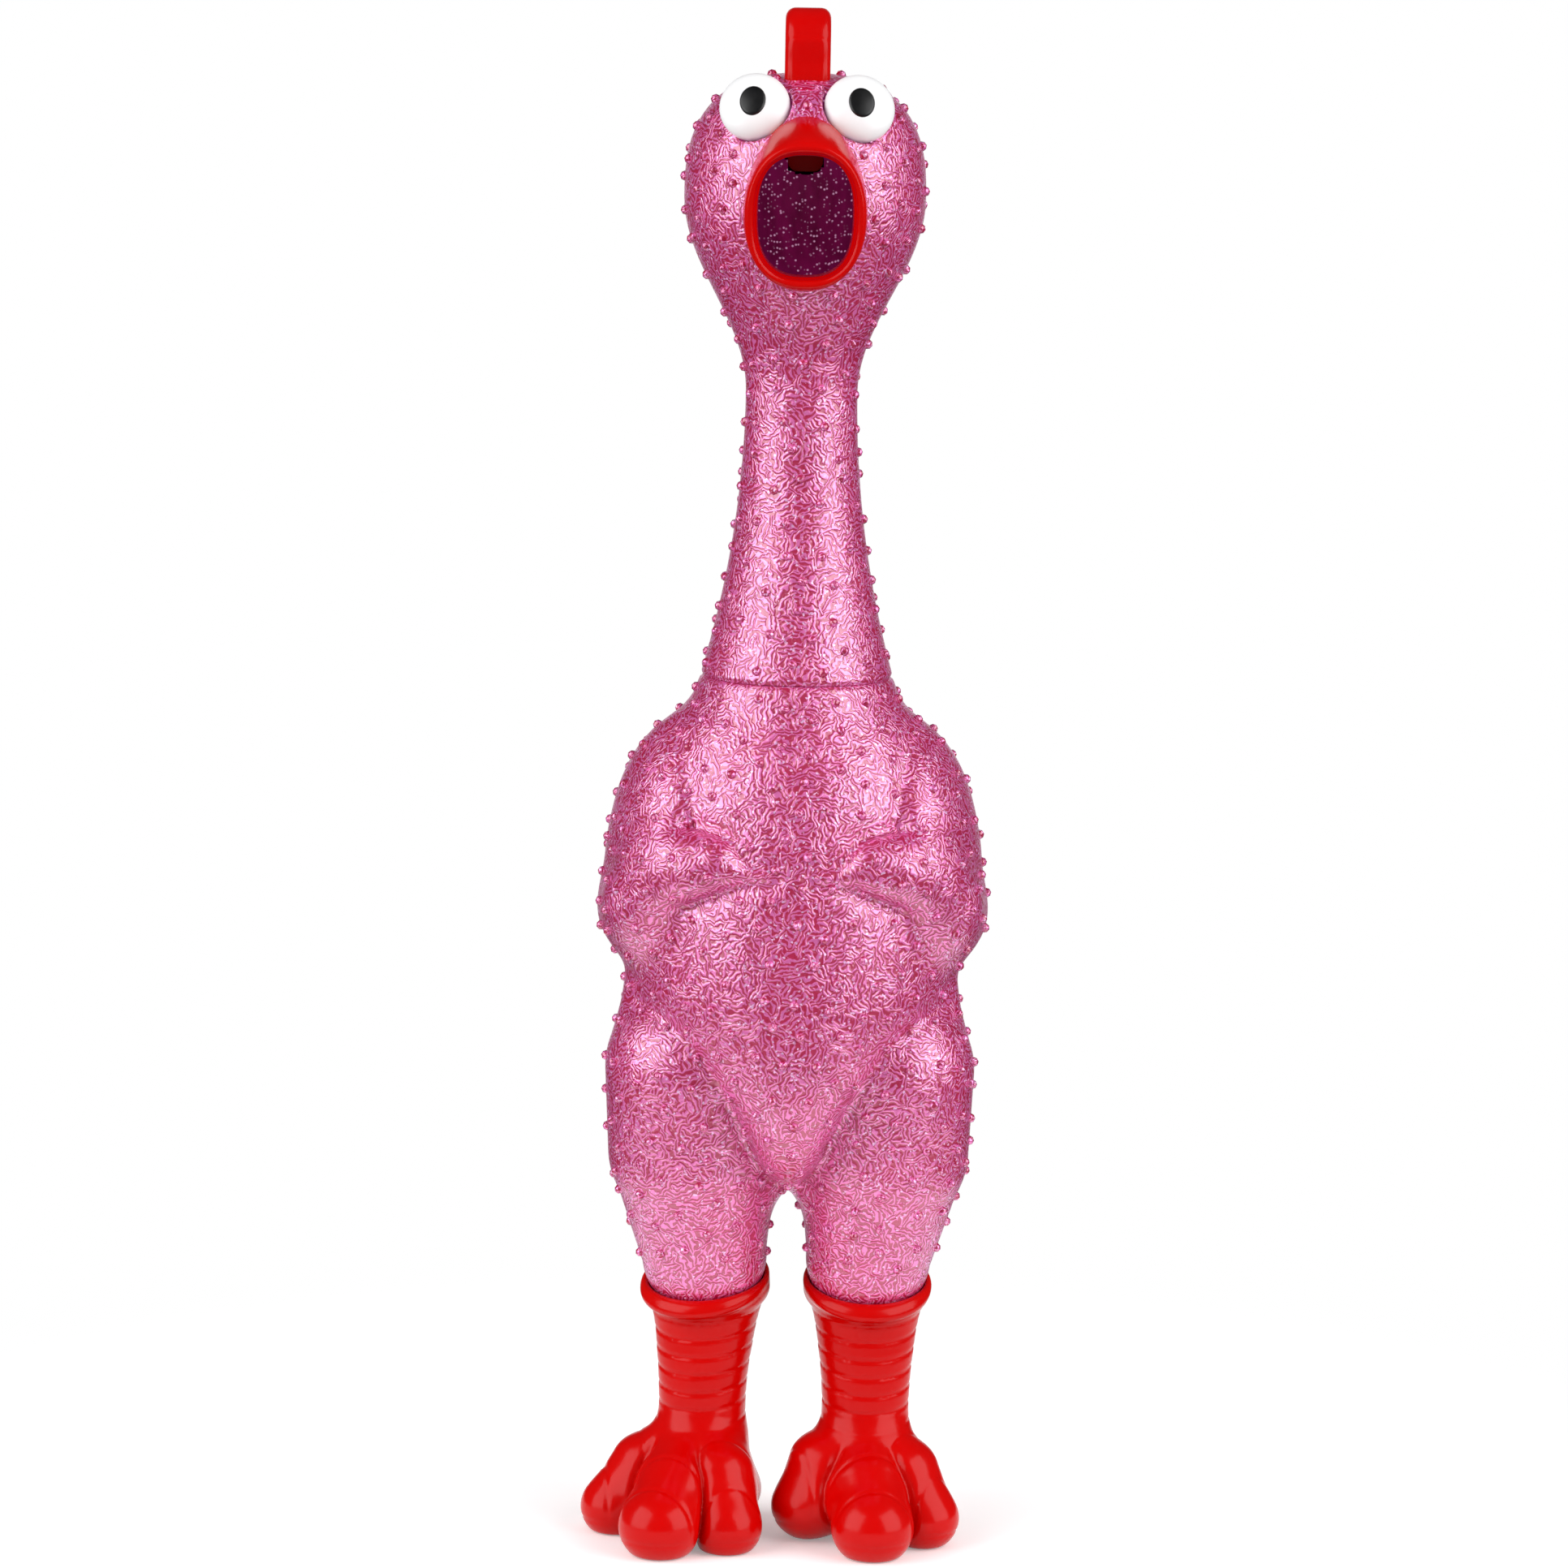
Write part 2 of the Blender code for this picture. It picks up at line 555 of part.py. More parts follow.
beak_mesh = combine(
    lofted(bill_rings),
    ("DIFFERENCE", head_solid(SEAT_GAP, True)),
    ("UNION", mouth_prism(SPIGOT_WALL, face_y - 0.5 * LOWER_BILL_REACH, face_y + SPIGOT_REACH)),
    ("DIFFERENCE", mouth_prism(0.0, 3 * face_y, 0.0)),
)
piece("beak", beak_mesh, RED, HEAD)

# Comb: a blade of lobes from the brow over the crown to the back, with a tenon let into the crown
lobe_places = []
lobe_angle = math.radians(COMB_FRONT_ANGLE)
lobe_reach = (HEAD_RISE + COMB_RISE - COMB_LOBE_RADIUS) / math.cos(lobe_angle)
for _ in range(COMB_LOBES):
    lobe_places.append((lobe_reach * math.sin(lobe_angle), lobe_reach * math.cos(lobe_angle)))
    lobe_angle += 2 * math.asin(COMB_LOBE_STEP / 2 / lobe_reach)
    lobe_reach -= COMB_LOBE_FALL


def comb_ring(x, inset):
    """The comb's outline across X, drawn in by an inset: overlapping circles round the head's middle."""
    radius = COMB_LOBE_RADIUS - inset
    cuts = []
    for (y, z), (next_y, next_z) in zip(lobe_places, lobe_places[1:]):
        way = math.atan2(next_z - z, next_y - y)
        notch = math.acos(math.hypot(next_y - y, next_z - z) / 2 / radius)
        cuts.append((way + notch, way + math.pi - notch))
    front = math.atan2(lobe_places[0][1], lobe_places[0][0])
    back = math.atan2(lobe_places[-1][1], lobe_places[-1][0])
    starts = [front + math.radians(100)] + [after for _, after in cuts]
    ends = [before for before, _ in cuts] + [back - math.radians(100)]
    root = 0.7 * HEAD_RISE
    points = [(x, root * math.cos(front + 0.25), HEAD_Z + root * math.sin(front + 0.25))]
    for (y, z), start, end in zip(lobe_places, starts, ends):
        for a in np.linspace(start, end, 9):
            points.append((x, y + radius * math.cos(a), HEAD_Z + z + radius * math.sin(a)))
    points.append((x, root * math.cos(back - 0.15), HEAD_Z + root * math.sin(back - 0.15)))
    return points


comb_rings = []
rounding = 0.15 * COMB_THICKNESS
for side in (-1, 1):
    for a in np.linspace(0.0, math.pi / 2, 4)[::-side]:
        x = side * (COMB_THICKNESS / 2 - rounding * (1 - math.cos(a)))
        comb_rings.append(comb_ring(x, rounding * (1 - math.sin(a))))
tenon_low = (-TENON_THICKNESS / 2, TENON_FRONT, crown_z - TENON_DEPTH)
tenon_high = (TENON_THICKNESS / 2, tenon_back, crown_z + 0.003)
comb_mesh = combine(
    lofted(comb_rings),
    ("DIFFERENCE", head_solid(SEAT_GAP, True)),
    ("UNION", block(tenon_low, tenon_high)),
)
piece("comb", comb_mesh, RED, HEAD)

# Eyes: flattened balls with a round pocket for the pupil, which is a disc with a domed face
for side, name in ((1, "left"), (-1, "right")):
    pocket = PUPIL_RADIUS + SEAT_GAP
    pocket_floor = EYE_DEPTH - PUPIL_SET - SEAT_GAP
    rim = math.asin(pocket / EYE_RADIUS)
    eye_outline = [(0.0, -EYE_DEPTH)]
    for a in np.linspace(math.pi, rim, 11)[1:]:
        eye_outline.append((EYE_RADIUS * math.sin(a), EYE_DEPTH * math.cos(a)))
    eye_outline += [(pocket, pocket_floor), (0.0, pocket_floor)]
    piece(name + "_eye", placed(spun(eye_outline, steps=24), eye_place(side), gaze(side)), WHITE, HEAD)
    edge = math.asin(PUPIL_RADIUS / EYE_RADIUS)
    disc = [(0.0, EYE_DEPTH - PUPIL_SET), (PUPIL_RADIUS, EYE_DEPTH - PUPIL_SET)]
    for a in np.linspace(edge, 0.0, 5):
        disc.append((EYE_RADIUS * math.sin(a), EYE_DEPTH * math.cos(a) + PUPIL_PROUD))
    piece(name + "_pupil", placed(spun(disc, steps=20), eye_place(side), gaze(side)), BLACK, HEAD)

# Boots: a shaft with a rolled cuff and a cup for the leg's ball end, on a foot of three toes and a heel
cup_radius = ANKLE_RADIUS + JOINT_GAP
cuff_radius = math.sqrt(cup_radius**2 - CUFF_DROP**2) + CUFF_WALL
waist_drop = CUFF_DROP + 2.9 * CUFF_BEAD
waist_radius = math.sqrt(cup_radius**2 - waist_drop**2) + SHAFT_WALL
shaft_drop = ANKLE_HEIGHT - INSTEP_HEIGHT
boot_rows = ((1, "left", LEFT_TURN, LEFT_OUTER_SPREAD), (-1, "right", RIGHT_TURN, RIGHT_OUTER_SPREAD))
for side, name, turn, outer_spread in boot_rows:
    tilt = math.radians(CUFF_TILT)
    shaft = [boot_ring(SHAFT_RADIUS, shaft_drop, 0.0)]
    for share in (0.55, 0.3):
        girth = SHAFT_RADIUS + (waist_radius - SHAFT_RADIUS) * (0.55 - share) / 0.55
        drop = waist_drop + (shaft_drop - waist_drop) * share
        shaft.append(boot_ring(girth, drop, tilt * (0.55 - share)))
    shaft.append(boot_ring(waist_radius, waist_drop, tilt))
    for a in np.linspace(-math.pi / 2, math.pi / 2, 7):
        girth = cuff_radius - CUFF_BEAD + CUFF_BEAD * math.cos(a)
        shaft.append(boot_ring(girth, CUFF_DROP + CUFF_BEAD - CUFF_BEAD * math.sin(a), tilt))
    instep = (0.0, 0.0, INSTEP_HEIGHT)
    ankle = (0.0, 0.0, ANKLE_HEIGHT)
    toe_tip = (0.0, -TOE_REACH, TOE_RADIUS - SOLE_FLAT)
    boot_steps = [("UNION", drumstick(instep, toe_tip, SHAFT_RADIUS, TOE_RADIUS, steps=20))]
    for way, spread in ((side, outer_spread), (-side, INNER_TOE_SPREAD)):
        spread = math.radians(spread)
        x, y = way * SIDE_TOE_REACH * math.sin(spread), -SIDE_TOE_REACH * math.cos(spread)
        side_tip = (x, y, SIDE_TOE_RADIUS - SOLE_FLAT)
        side_toe = drumstick(instep, side_tip, 0.9 * SHAFT_RADIUS, SIDE_TOE_RADIUS, steps=20)
        boot_steps.append(("UNION", side_toe))
    heel_place = (0.0, HEEL_BACK, HEEL_RADIUS - SOLE_FLAT)
    boot_steps.append(("UNION", ball(heel_place, (HEEL_RADIUS,) * 3, steps=20)))
    bridge_sizes = (BRIDGE_HALF_WIDTH, BRIDGE_HALF_LENGTH, BRIDGE_RISE)
    boot_steps.append(("UNION", ball((0.0, -BRIDGE_FRONT, BRIDGE_RISE / 2), bridge_sizes, steps=20)))
    boot_steps.append(("DIFFERENCE", ball(ankle, (cup_radius,) * 3)))
    boot_bore = SHAFT_RADIUS - BOOT_WALL
    boot_steps.append(("DIFFERENCE", drumstick(ankle, instep, boot_bore, boot_bore, steps=16)))
    boot_steps.append(("DIFFERENCE", block((-0.1, -0.1, -0.05), (0.1, 0.1, 0.0))))
    boot = combine(lofted(shaft), *boot_steps)
    boot.transform(Matrix.Rotation(math.radians(turn), 4, "Z"))
    boot.transform(Matrix.Translation((side * ANKLE_SPREAD, 0.0, 0.0)))
    ankle_pivot = pivot(name + "_ankle_pivot", (side * ANKLE_SPREAD, 0.0, ANKLE_HEIGHT), CHICKEN)
    piece(name + "_boot", boot, RED, ankle_pivot)

# Squeaker barrel: a flanged tube that stops against the neck's shoulder
barrel_top = HEAD_PIVOT_Z - HEAD_BALL - BARREL_HEADROOM
flange_top = SHOULDER_Z - SEAT_GAP
flange_low = flange_top - FLANGE_THICKNESS
barrel = [
    (BARREL_BORE, flange_low),
    (FLANGE_RADIUS, flange_low),
    (FLANGE_RADIUS, flange_top),
    (BARREL_RADIUS, flange_top),
    (BARREL_RADIUS, barrel_top),
    (BARREL_BORE, barrel_top),
]
piece("squeaker_barrel", spun(barrel, closed=True), CLEAR, NECK)

# Squeaker cap: a vented disc plugged into the barrel's lower end
cap_top = flange_low - SEAT_GAP
cap_spigot = BARREL_BORE - SEAT_GAP
cap = [
    (CAP_VENT, cap_top - CAP_THICKNESS),
    (FLANGE_RADIUS - SEAT_GAP, cap_top - CAP_THICKNESS),
    (FLANGE_RADIUS - SEAT_GAP, cap_top),
    (cap_spigot, cap_top),
    (cap_spigot, cap_top + CAP_SPIGOT),
    (CAP_VENT, cap_top + CAP_SPIGOT),
]
piece("squeaker_cap", spun(cap, closed=True), CLEAR, NECK)

# Tone board: a lipped plug in the barrel's top with a half-round tongue and an air trough
plug_radius = BARREL_BORE - SEAT_GAP
plug_low = barrel_top - PLUG_LENGTH
tongue_low = cap_top + CAP_SPIGOT + TONGUE_CLEARANCE
plug = [
    (0.0, plug_low),
    (plug_radius, plug_low),
    (plug_radius, barrel_top + SEAT_GAP),
    (BARREL_RADIUS - SEAT_GAP, barrel_top + SEAT_GAP),
    (BARREL_RADIUS - SEAT_GAP, barrel_top + SEAT_GAP + PLUG_LIP),
    (0.0, barrel_top + SEAT_GAP + PLUG_LIP),
]
tongue = cylinder(plug_radius, tongue_low, plug_low + 0.5 * PLUG_LENGTH)
above_table = block((-0.03, 0.0, tongue_low - 0.01), (0.03, 0.03, plug_low))
trough_low = (-TROUGH_WIDTH / 2, -TROUGH_DEPTH, tongue_low + 0.002)
trough = block(trough_low, (TROUGH_WIDTH / 2, 0.001, barrel_top + 0.01))
board = combine(spun(plug), ("UNION", tongue), ("DIFFERENCE", above_table), ("DIFFERENCE", trough))
piece("tone_board", board, CLEAR, NECK)

# Reed wedge: a half-round block between the plug and the reed's root
reed_low_y = SEAT_GAP
wedge_face = reed_low_y + REED_THICKNESS + SEAT_GAP
wedge_top = plug_low - SEAT_GAP
wedge_low = wedge_top - WEDGE_LENGTH
wedge_round = cylinder(plug_radius, wedge_low, wedge_top)
under_wedge = block((-0.03, -0.03, wedge_low - 0.01), (0.03, wedge_face, wedge_top + 0.01))
piece("reed_wedge", combine(wedge_round, ("DIFFERENCE", under_wedge)), CLEAR, NECK)

# Reed: a thin strip whose root is pinched between the table and the wedge
reed_y = reed_low_y + REED_THICKNESS / 2
REED = pivot("reed_pivot", (0.0, reed_y, wedge_low), NECK)
reed_corner = (-REED_WIDTH / 2, reed_low_y, tongue_low - REED_OVERHANG)
reed = block(reed_corner, (REED_WIDTH / 2, reed_low_y + REED_THICKNESS, wedge_low + REED_TAB))
piece("reed", reed, REED_FILM, REED)

# The whole chicken is slid over the floor until its outline is centred on the origin
bpy.context.view_layer.update()
corners = []
for thing in bpy.data.objects:
    if thing.type == "MESH":
        corners += [thing.matrix_world @ vertex.co for vertex in thing.data.vertices]
for axis in (0, 1):
    reach = [corner[axis] for corner in corners]
    CHICKEN.location[axis] = -(min(reach) + max(reach)) / 2
bpy.context.view_layer.update()
for empty in bpy.data.objects:
    if empty.type == "EMPTY":
        print(empty.name, [round(value, 5) for value in empty.matrix_world.translation])
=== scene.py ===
"""Looks of a hollow rubber chicken: glitter-pink vinyl skin with moulded beads, red boots, beak and comb."""
import json
import math

import bpy
import numpy as np
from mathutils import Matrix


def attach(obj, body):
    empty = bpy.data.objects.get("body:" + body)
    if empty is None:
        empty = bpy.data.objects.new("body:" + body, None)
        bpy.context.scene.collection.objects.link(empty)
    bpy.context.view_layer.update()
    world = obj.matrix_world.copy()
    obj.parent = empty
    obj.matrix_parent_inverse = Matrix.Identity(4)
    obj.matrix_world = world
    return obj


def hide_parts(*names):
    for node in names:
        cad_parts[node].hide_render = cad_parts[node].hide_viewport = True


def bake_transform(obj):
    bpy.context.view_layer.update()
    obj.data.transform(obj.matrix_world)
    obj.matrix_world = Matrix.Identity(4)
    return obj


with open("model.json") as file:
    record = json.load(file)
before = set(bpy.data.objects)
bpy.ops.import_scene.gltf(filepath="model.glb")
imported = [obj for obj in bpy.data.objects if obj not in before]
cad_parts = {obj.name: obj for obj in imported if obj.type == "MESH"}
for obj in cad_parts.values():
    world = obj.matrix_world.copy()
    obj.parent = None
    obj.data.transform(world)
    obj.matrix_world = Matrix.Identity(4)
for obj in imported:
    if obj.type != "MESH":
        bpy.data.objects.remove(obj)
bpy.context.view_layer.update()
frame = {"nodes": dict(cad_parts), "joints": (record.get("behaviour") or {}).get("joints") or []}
joint_place = {joint["name"]: np.array(joint["pos_m"]) for joint in frame["joints"]}

# Boots
# Two hollow boots of glossy red vinyl, slush moulded in one piece each: a funnel cuff, a shaft with
# moulded bands and a foot of three toes and a heel. Each is pushed on the ball end of a leg.
ANKLE_HEIGHT = joint_place["left_ankle"][2]
ANKLE_BALL, CUP_PLAY, CUP_EDGE = 0.0164, 0.0002, 0.0018
CUFF_TILT, SHAFT_TILT, BAND_TILT = (math.tan(math.radians(a)) for a in (18.0, 5.0, 9.0))
BOOT_ROWS = np.array([
    # drop below the ankle, girth
    (0.0000, 0.0164), (0.0030, 0.0165), (0.0056, 0.0166), (0.0080, 0.0167), (0.0102, 0.0166),
    (0.0118, 0.0160), (0.0132, 0.0150), (0.0146, 0.0144), (0.0160, 0.0140), (0.0180, 0.0136),
    (0.0210, 0.0131), (0.0244, 0.0127), (0.0292, 0.0121), (0.0345, 0.0117), (0.0397, 0.0115),
    (0.0449, 0.0116), (0.0520, 0.0120), (0.0620, 0.0126),
])
CUFF_TOP, CUFF_EDGE = 0.0046, 0.0034
SHAFT_LEAN, SHAFT_LEAN_Z, SHAFT_LEAN_REACH = 0.0020, 0.062, 0.016
SHAFT_FOOT, SHAFT_FLOW = 0.014, 0.0032
BAND_FIRST, BAND_STEP, BANDS = 0.0142, 0.0048, 7
BAND_DEPTH, BAND_WIDTH = 0.00029, 0.00045
ROLL_GIRTH, ROLL_DROP, ROLL_RADIUS, ROLL_FLOW = 0.0142, 0.0071, 0.0026, 0.0010
HEEL, HEEL_RADIUS, HEEL_FLOW = (0.0, 0.0064, 0.0096), 0.0105, 0.0080
BRIDGE, BRIDGE_HALVES = (0.0, -0.0045, 0.0125), (0.0175, 0.0165, 0.0105)
SHIN, SHIN_GIRTH, SHIN_FLOW = (0.0, 0.0, 0.0235), 0.0108, 0.0070
INSTEP, INSTEP_GIRTH = np.array((0.0, -0.002, 0.0220)), 0.0114
INSTEP_TOP, INSTEP_FADE = 0.0255, 0.0015
TOE_FLATNESS, KNUCKLE_FULLNESS, TIP_FULLNESS, TIP_FLOW = 0.87, 1.10, 0.97, 0.0040
MIDDLE_TOE_FLOW, SIDE_TOE_FLOW, TOE_TO_TOE_FLOW, SIDE_TO_SIDE_FLOW = 0.0045, 0.0055, 0.0014, 0.0010
TOE_GROOVE_DEPTH, TOE_GROOVE_WIDTH = 0.0013, 0.0012
SOLE_FLAT, SOLE_EDGE = 0.0009, 0.0010
WRINKLES, WRINKLE_DEPTH, WRINKLE_WIDTH, WRINKLE_FADE = (0.0032, -0.0062), 0.00027, 0.00048, 0.0012
FRONT_WRINKLE_SHARE, FRONT_WRINKLE_START, FRONT_WRINKLE_RISE, FRONT_WRINKLE_FADE = 0.7, 0.55, 0.62, 0.0008
BOOT_LOW, BOOT_HIGH, BOOT_CELL = (-0.034, -0.044, -0.0021), (0.034, 0.026, 0.0762), 0.00065
BOOTS = (
    # name, turn, then each toe's spread from the middle one in degrees, reach, ball, lift, and its
    # knuckle's share of the reach and height
    ("left", 5.0, ((0.0, 0.0240, 0.0100, 0.0, 0.56, 0.0150), (47.0, 0.0198, 0.0086, 0.0008, 0.66, 0.0182),
                   (-68.0, 0.0166, 0.0088, 0.0022, 0.72, 0.0192))),
    ("right", -22.0, ((0.0, 0.0272, 0.0101, 0.0, 0.56, 0.0150), (-61.0, 0.0224, 0.0086, 0.0, 0.66, 0.0170),
                      (41.0, 0.0216, 0.0086, 0.0, 0.66, 0.0180))),
)


def ball_gap(x, y, z, centre, halves, turn=None):
    """How far a point is outside an ellipsoid: k (k - 1) / m, where k is the length of the point
    measured in half axes and m the length of the point over the squares of the half axes."""
    away = (x - centre[0], y - centre[1], z - centre[2])
    if turn is not None:
        away = [sum(row[i] * away[i] for i in range(3)) for row in turn]
    shares = sum((a / h) ** 2 for a, h in zip(away, halves)) ** 0.5
    slopes = sum((a / h**2) ** 2 for a, h in zip(away, halves)) ** 0.5
    return shares * (shares - 1) / np.maximum(slopes, 1e-6)


def limb_gap(x, y, z, root, tip, root_girth, tip_girth):
    """How far a point is outside a round limb: its distance to the line from root to tip, less a
    girth that runs evenly from one end's to the other's."""
    line = np.subtract(tip, root)
    away = (x - root[0], y - root[1], z - root[2])
    share = np.clip(sum(a * b for a, b in zip(away, line)) / (line @ line), 0.0, 1.0)
    off = sum((a - share * b) ** 2 for a, b in zip(away, line)) ** 0.5
    return off - (root_girth + (tip_girth - root_girth) * share)


def melt(one, other, reach):
    """Two forms flowing together: the lesser gap, less a parabola where they differ by under reach."""
    near = np.maximum(reach - np.abs(one - other), 0.0) / reach
    return np.minimum(one, other) - near * near * reach / 4


def soft_step(value, width):
    """A logistic step: 0 well below zero and 1 well above it, over a width."""
    return 1 / (1 + np.exp(-value / width))


def bell(value, width):
    """A bell curve: 1 at zero, falling by the exponent of the square of the value over a width."""
    return np.exp(-((value / width) ** 2))


def crease(one, other, depth, width):
    """A moulded crease where two forms meet: a bell curve of the difference of their gaps."""
    return depth * bell(one - other, width)


def read_rows(rows, stops):
    """Profile rows read at stops in their first column, by a cubic through each of the other columns."""
    slopes = np.gradient(rows[:, 1:], rows[:, 0], axis=0)
    at = np.clip(np.searchsorted(rows[:, 0], stops, side="right") - 1, 0, len(rows) - 2)
    span = (rows[at + 1, 0] - rows[at, 0])[:, None]
    t = np.clip((stops - rows[at, 0])[:, None] / span, 0.0, 1.0)
    low, high = rows[at, 1:], rows[at + 1, 1:]
    bend = t * (1 - t) * span * ((1 - t) * slopes[at] - t * slopes[at + 1])
    return low + (high - low) * t * t * (3 - 2 * t) + bend


def slope_of(gap, points, reach=0.00015):
    """The slope of a gap at points: half the change over a short step each way along each axis."""
    steps = np.eye(3) * reach
    return np.stack([gap(*(points + s).T) - gap(*(points - s).T) for s in steps], 1) / (2 * reach)


def skin_of(gap, low, high, step, passes=3, draws=2, least_slope=0.2):
    """The surface where a gap is zero. Each cell of a grid that the surface passes through gets one
    point, the mean of the crossings on the cell's edges, and each crossed grid line gets one face on
    the four cells round it. In each pass the points are evened out, by half the way to the mean of
    their neighbours, and drawn on to the surface by the gap over its slope."""
    axes = [np.arange(a, b + step, step) for a, b in zip(low, high)]
    value = gap(*np.meshgrid(*axes, indexing="ij", sparse=True))
    inside = value < 0
    cells = tuple(n - 1 for n in value.shape)
    total = np.zeros((3, *cells))
    hits = np.zeros(cells)
    for a in range(3):
        v, s = np.moveaxis(value, a, 0), np.moveaxis(inside, a, 0)
        crossed = s[1:] != s[:-1]
        share = np.where(crossed, v[:-1] / np.where(crossed, v[:-1] - v[1:], 1.0), 0.0)
        crossed, share = np.moveaxis(crossed, 0, a), np.moveaxis(share, 0, a)
        b, c = [k for k in range(3) if k != a]
        for db in (0, 1):
            for dc in (0, 1):
                part = [slice(None)] * 3
                part[b] = slice(db, db + cells[b])
                part[c] = slice(dc, dc + cells[c])
                here = crossed[tuple(part)]
                hits += here
                total[a] += share[tuple(part)]
                total[b] += here * db
                total[c] += here * dc
    used = np.argwhere(hits > 0)
    number = np.full(cells, -1)
    number[tuple(used.T)] = np.arange(len(used))
    middle = np.stack([t[tuple(used.T)] for t in total], 1) / hits[tuple(used.T)][:, None]
    points = np.array([axis[0] for axis in axes]) + step * (used + middle)
    faces = []
    for a in range(3):
        order = (a, (a + 1) % 3, (a + 2) % 3)
        s, n = np.transpose(inside, order), np.transpose(number, order)
        crossed = s[1:, 1:-1, 1:-1] != s[:-1, 1:-1, 1:-1]
        quads = np.stack([n[:, :-1, :-1], n[:, 1:, :-1], n[:, 1:, 1:], n[:, :-1, 1:]], -1)[crossed]
        rises = s[:-1, 1:-1, 1:-1][crossed]
        faces.append(np.where(rises[:, None], quads, quads[:, ::-1]))
    faces = np.concatenate(faces)
    ends = np.concatenate([faces, np.roll(faces, -1, 1)]).ravel()
    others = np.concatenate([np.roll(faces, -1, 1), faces]).ravel()
    count = np.bincount(ends, minlength=len(points))[:, None]
    for _ in range(passes):
        sums = [np.bincount(ends, points[others, k], len(points)) for k in range(3)]
        points = 0.5 * points + 0.5 * np.stack(sums, 1) / count
        for _ in range(draws):
            slope = slope_of(gap, points)
            steepness = np.maximum((slope**2).sum(1), least_slope)[:, None]
            points = points - gap(*points.T)[:, None] * slope / steepness
    return points, faces


def put_piece(name, points, face_groups, looks, look_of_face=None):
    """A mesh object at the origin from points and groups of faces with equal corner counts."""
    groups = [np.asarray(group) for group in face_groups]
    sizes = np.concatenate([np.full(len(group), group.shape[1]) for group in groups])
    corners = np.concatenate([group.ravel() for group in groups])
    mesh = bpy.data.meshes.new(name)
    mesh.vertices.add(len(points))
    mesh.vertices.foreach_set("co", np.asarray(points, np.float32).ravel())
    mesh.loops.add(len(corners))
    mesh.loops.foreach_set("vertex_index", corners.astype(np.int32))
    mesh.polygons.add(len(sizes))
    mesh.polygons.foreach_set("loop_start", (np.cumsum(sizes) - sizes).astype(np.int32))
    mesh.polygons.foreach_set("use_smooth", np.ones(len(sizes), bool))
    if look_of_face is not None:
        mesh.polygons.foreach_set("material_index", look_of_face.astype(np.int32))
    mesh.update(calc_edges=True)
    for look in looks:
        mesh.materials.append(look)
    made = bpy.data.objects.new(name, mesh)
    bpy.context.scene.collection.objects.link(made)
    return made


def linear(code):
    """A colour written as sRGB hex, turned to linear light."""
    share = np.array([int(code[i:i + 2], 16) for i in (1, 3, 5)]) / 255
    light = np.where(share <= 0.04045, share / 12.92, ((share + 0.055) / 1.055) ** 2.4)
    return (*light, 1.0)


def add_node(look, kind, inputs=None, **settings):
    """One shader node: settings are its own properties, and inputs are values or sockets to link."""
    made = look.node_tree.nodes.new("ShaderNode" + kind)
    for key, value in settings.items():
        setattr(made, key, value)
    for key, value in (inputs or {}).items():
        if isinstance(value, bpy.types.NodeSocket):
            look.node_tree.links.new(value, made.inputs[key])
        else:
            made.inputs[key].default_value = value
    return made


def new_look(name):
    """An empty node material, and the place on the object in metres that its patterns are laid by."""
    look = bpy.data.materials.new(name)
    look.use_nodes = True
    look.node_tree.nodes.clear()
    return look, add_node(look, "TexCoord").outputs["Object"]


def noise(look, place, size, detail=2.0, **more):
    """Cloudy noise from 0 to 1, with its broadest clouds about a size across in metres."""
    inputs = {"Vector": place, "Scale": 1 / size, "Detail": detail, **more}
    return add_node(look, "TexNoise", inputs).outputs["Fac"]


def mixed(look, share, one, other):
    """A colour between two, each an sRGB hex code or a socket, by a share from 0 to 1."""
    ends = [linear(end) if isinstance(end, str) else end for end in (one, other)]
    inputs = {"Factor": share, "A": ends[0], "B": ends[1]}
    return add_node(look, "Mix", inputs, data_type="RGBA").outputs["Result"]


def ranged(look, value, start=0.0, end=1.0, low=0.0, high=1.0, **settings):
    """A value carried from the range between start and end to that between low and high, and held in it."""
    inputs = {"Value": value, "From Min": start, "From Max": end, "To Min": low, "To Max": high}
    return add_node(look, "MapRange", inputs, **settings).outputs["Result"]


def bumped(look, height, strength, distance):
    """The surface's facing, tilted by the slope of a height that rises over a distance in metres."""
    inputs = {"Height": height, "Strength": strength, "Distance": distance}
    return add_node(look, "Bump", inputs).outputs["Normal"]


def coat_with(look, inputs):
    """Ends a material in one principled surface with these inputs."""
    surface = add_node(look, "BsdfPrincipled", inputs)
    add_node(look, "OutputMaterial", {"Surface": surface.outputs["BSDF"]})


# Glossy PVC skin, slush moulded in a polished mould: a deep even red, soft-edged window highlights,
# a slow drift of the wall's colour and a faint orange peel that breaks the highlights' edges.
DRIFT_SIZE, PEEL_SIZE, PEEL_HEIGHT = 0.018, 0.0022, 0.0003
red_vinyl, place = new_look("glossy_red_vinyl")
peel = noise(red_vinyl, place, PEEL_SIZE)
coat_with(red_vinyl, {
    "Base Color": mixed(red_vinyl, noise(red_vinyl, place, DRIFT_SIZE), "#BC0000", "#CC0200"),
    "Roughness": ranged(red_vinyl, peel, low=0.16, high=0.26), "IOR": 1.52,
    "Normal": bumped(red_vinyl, peel, strength=0.10, distance=PEEL_HEIGHT), "Specular IOR Level": 0.18})


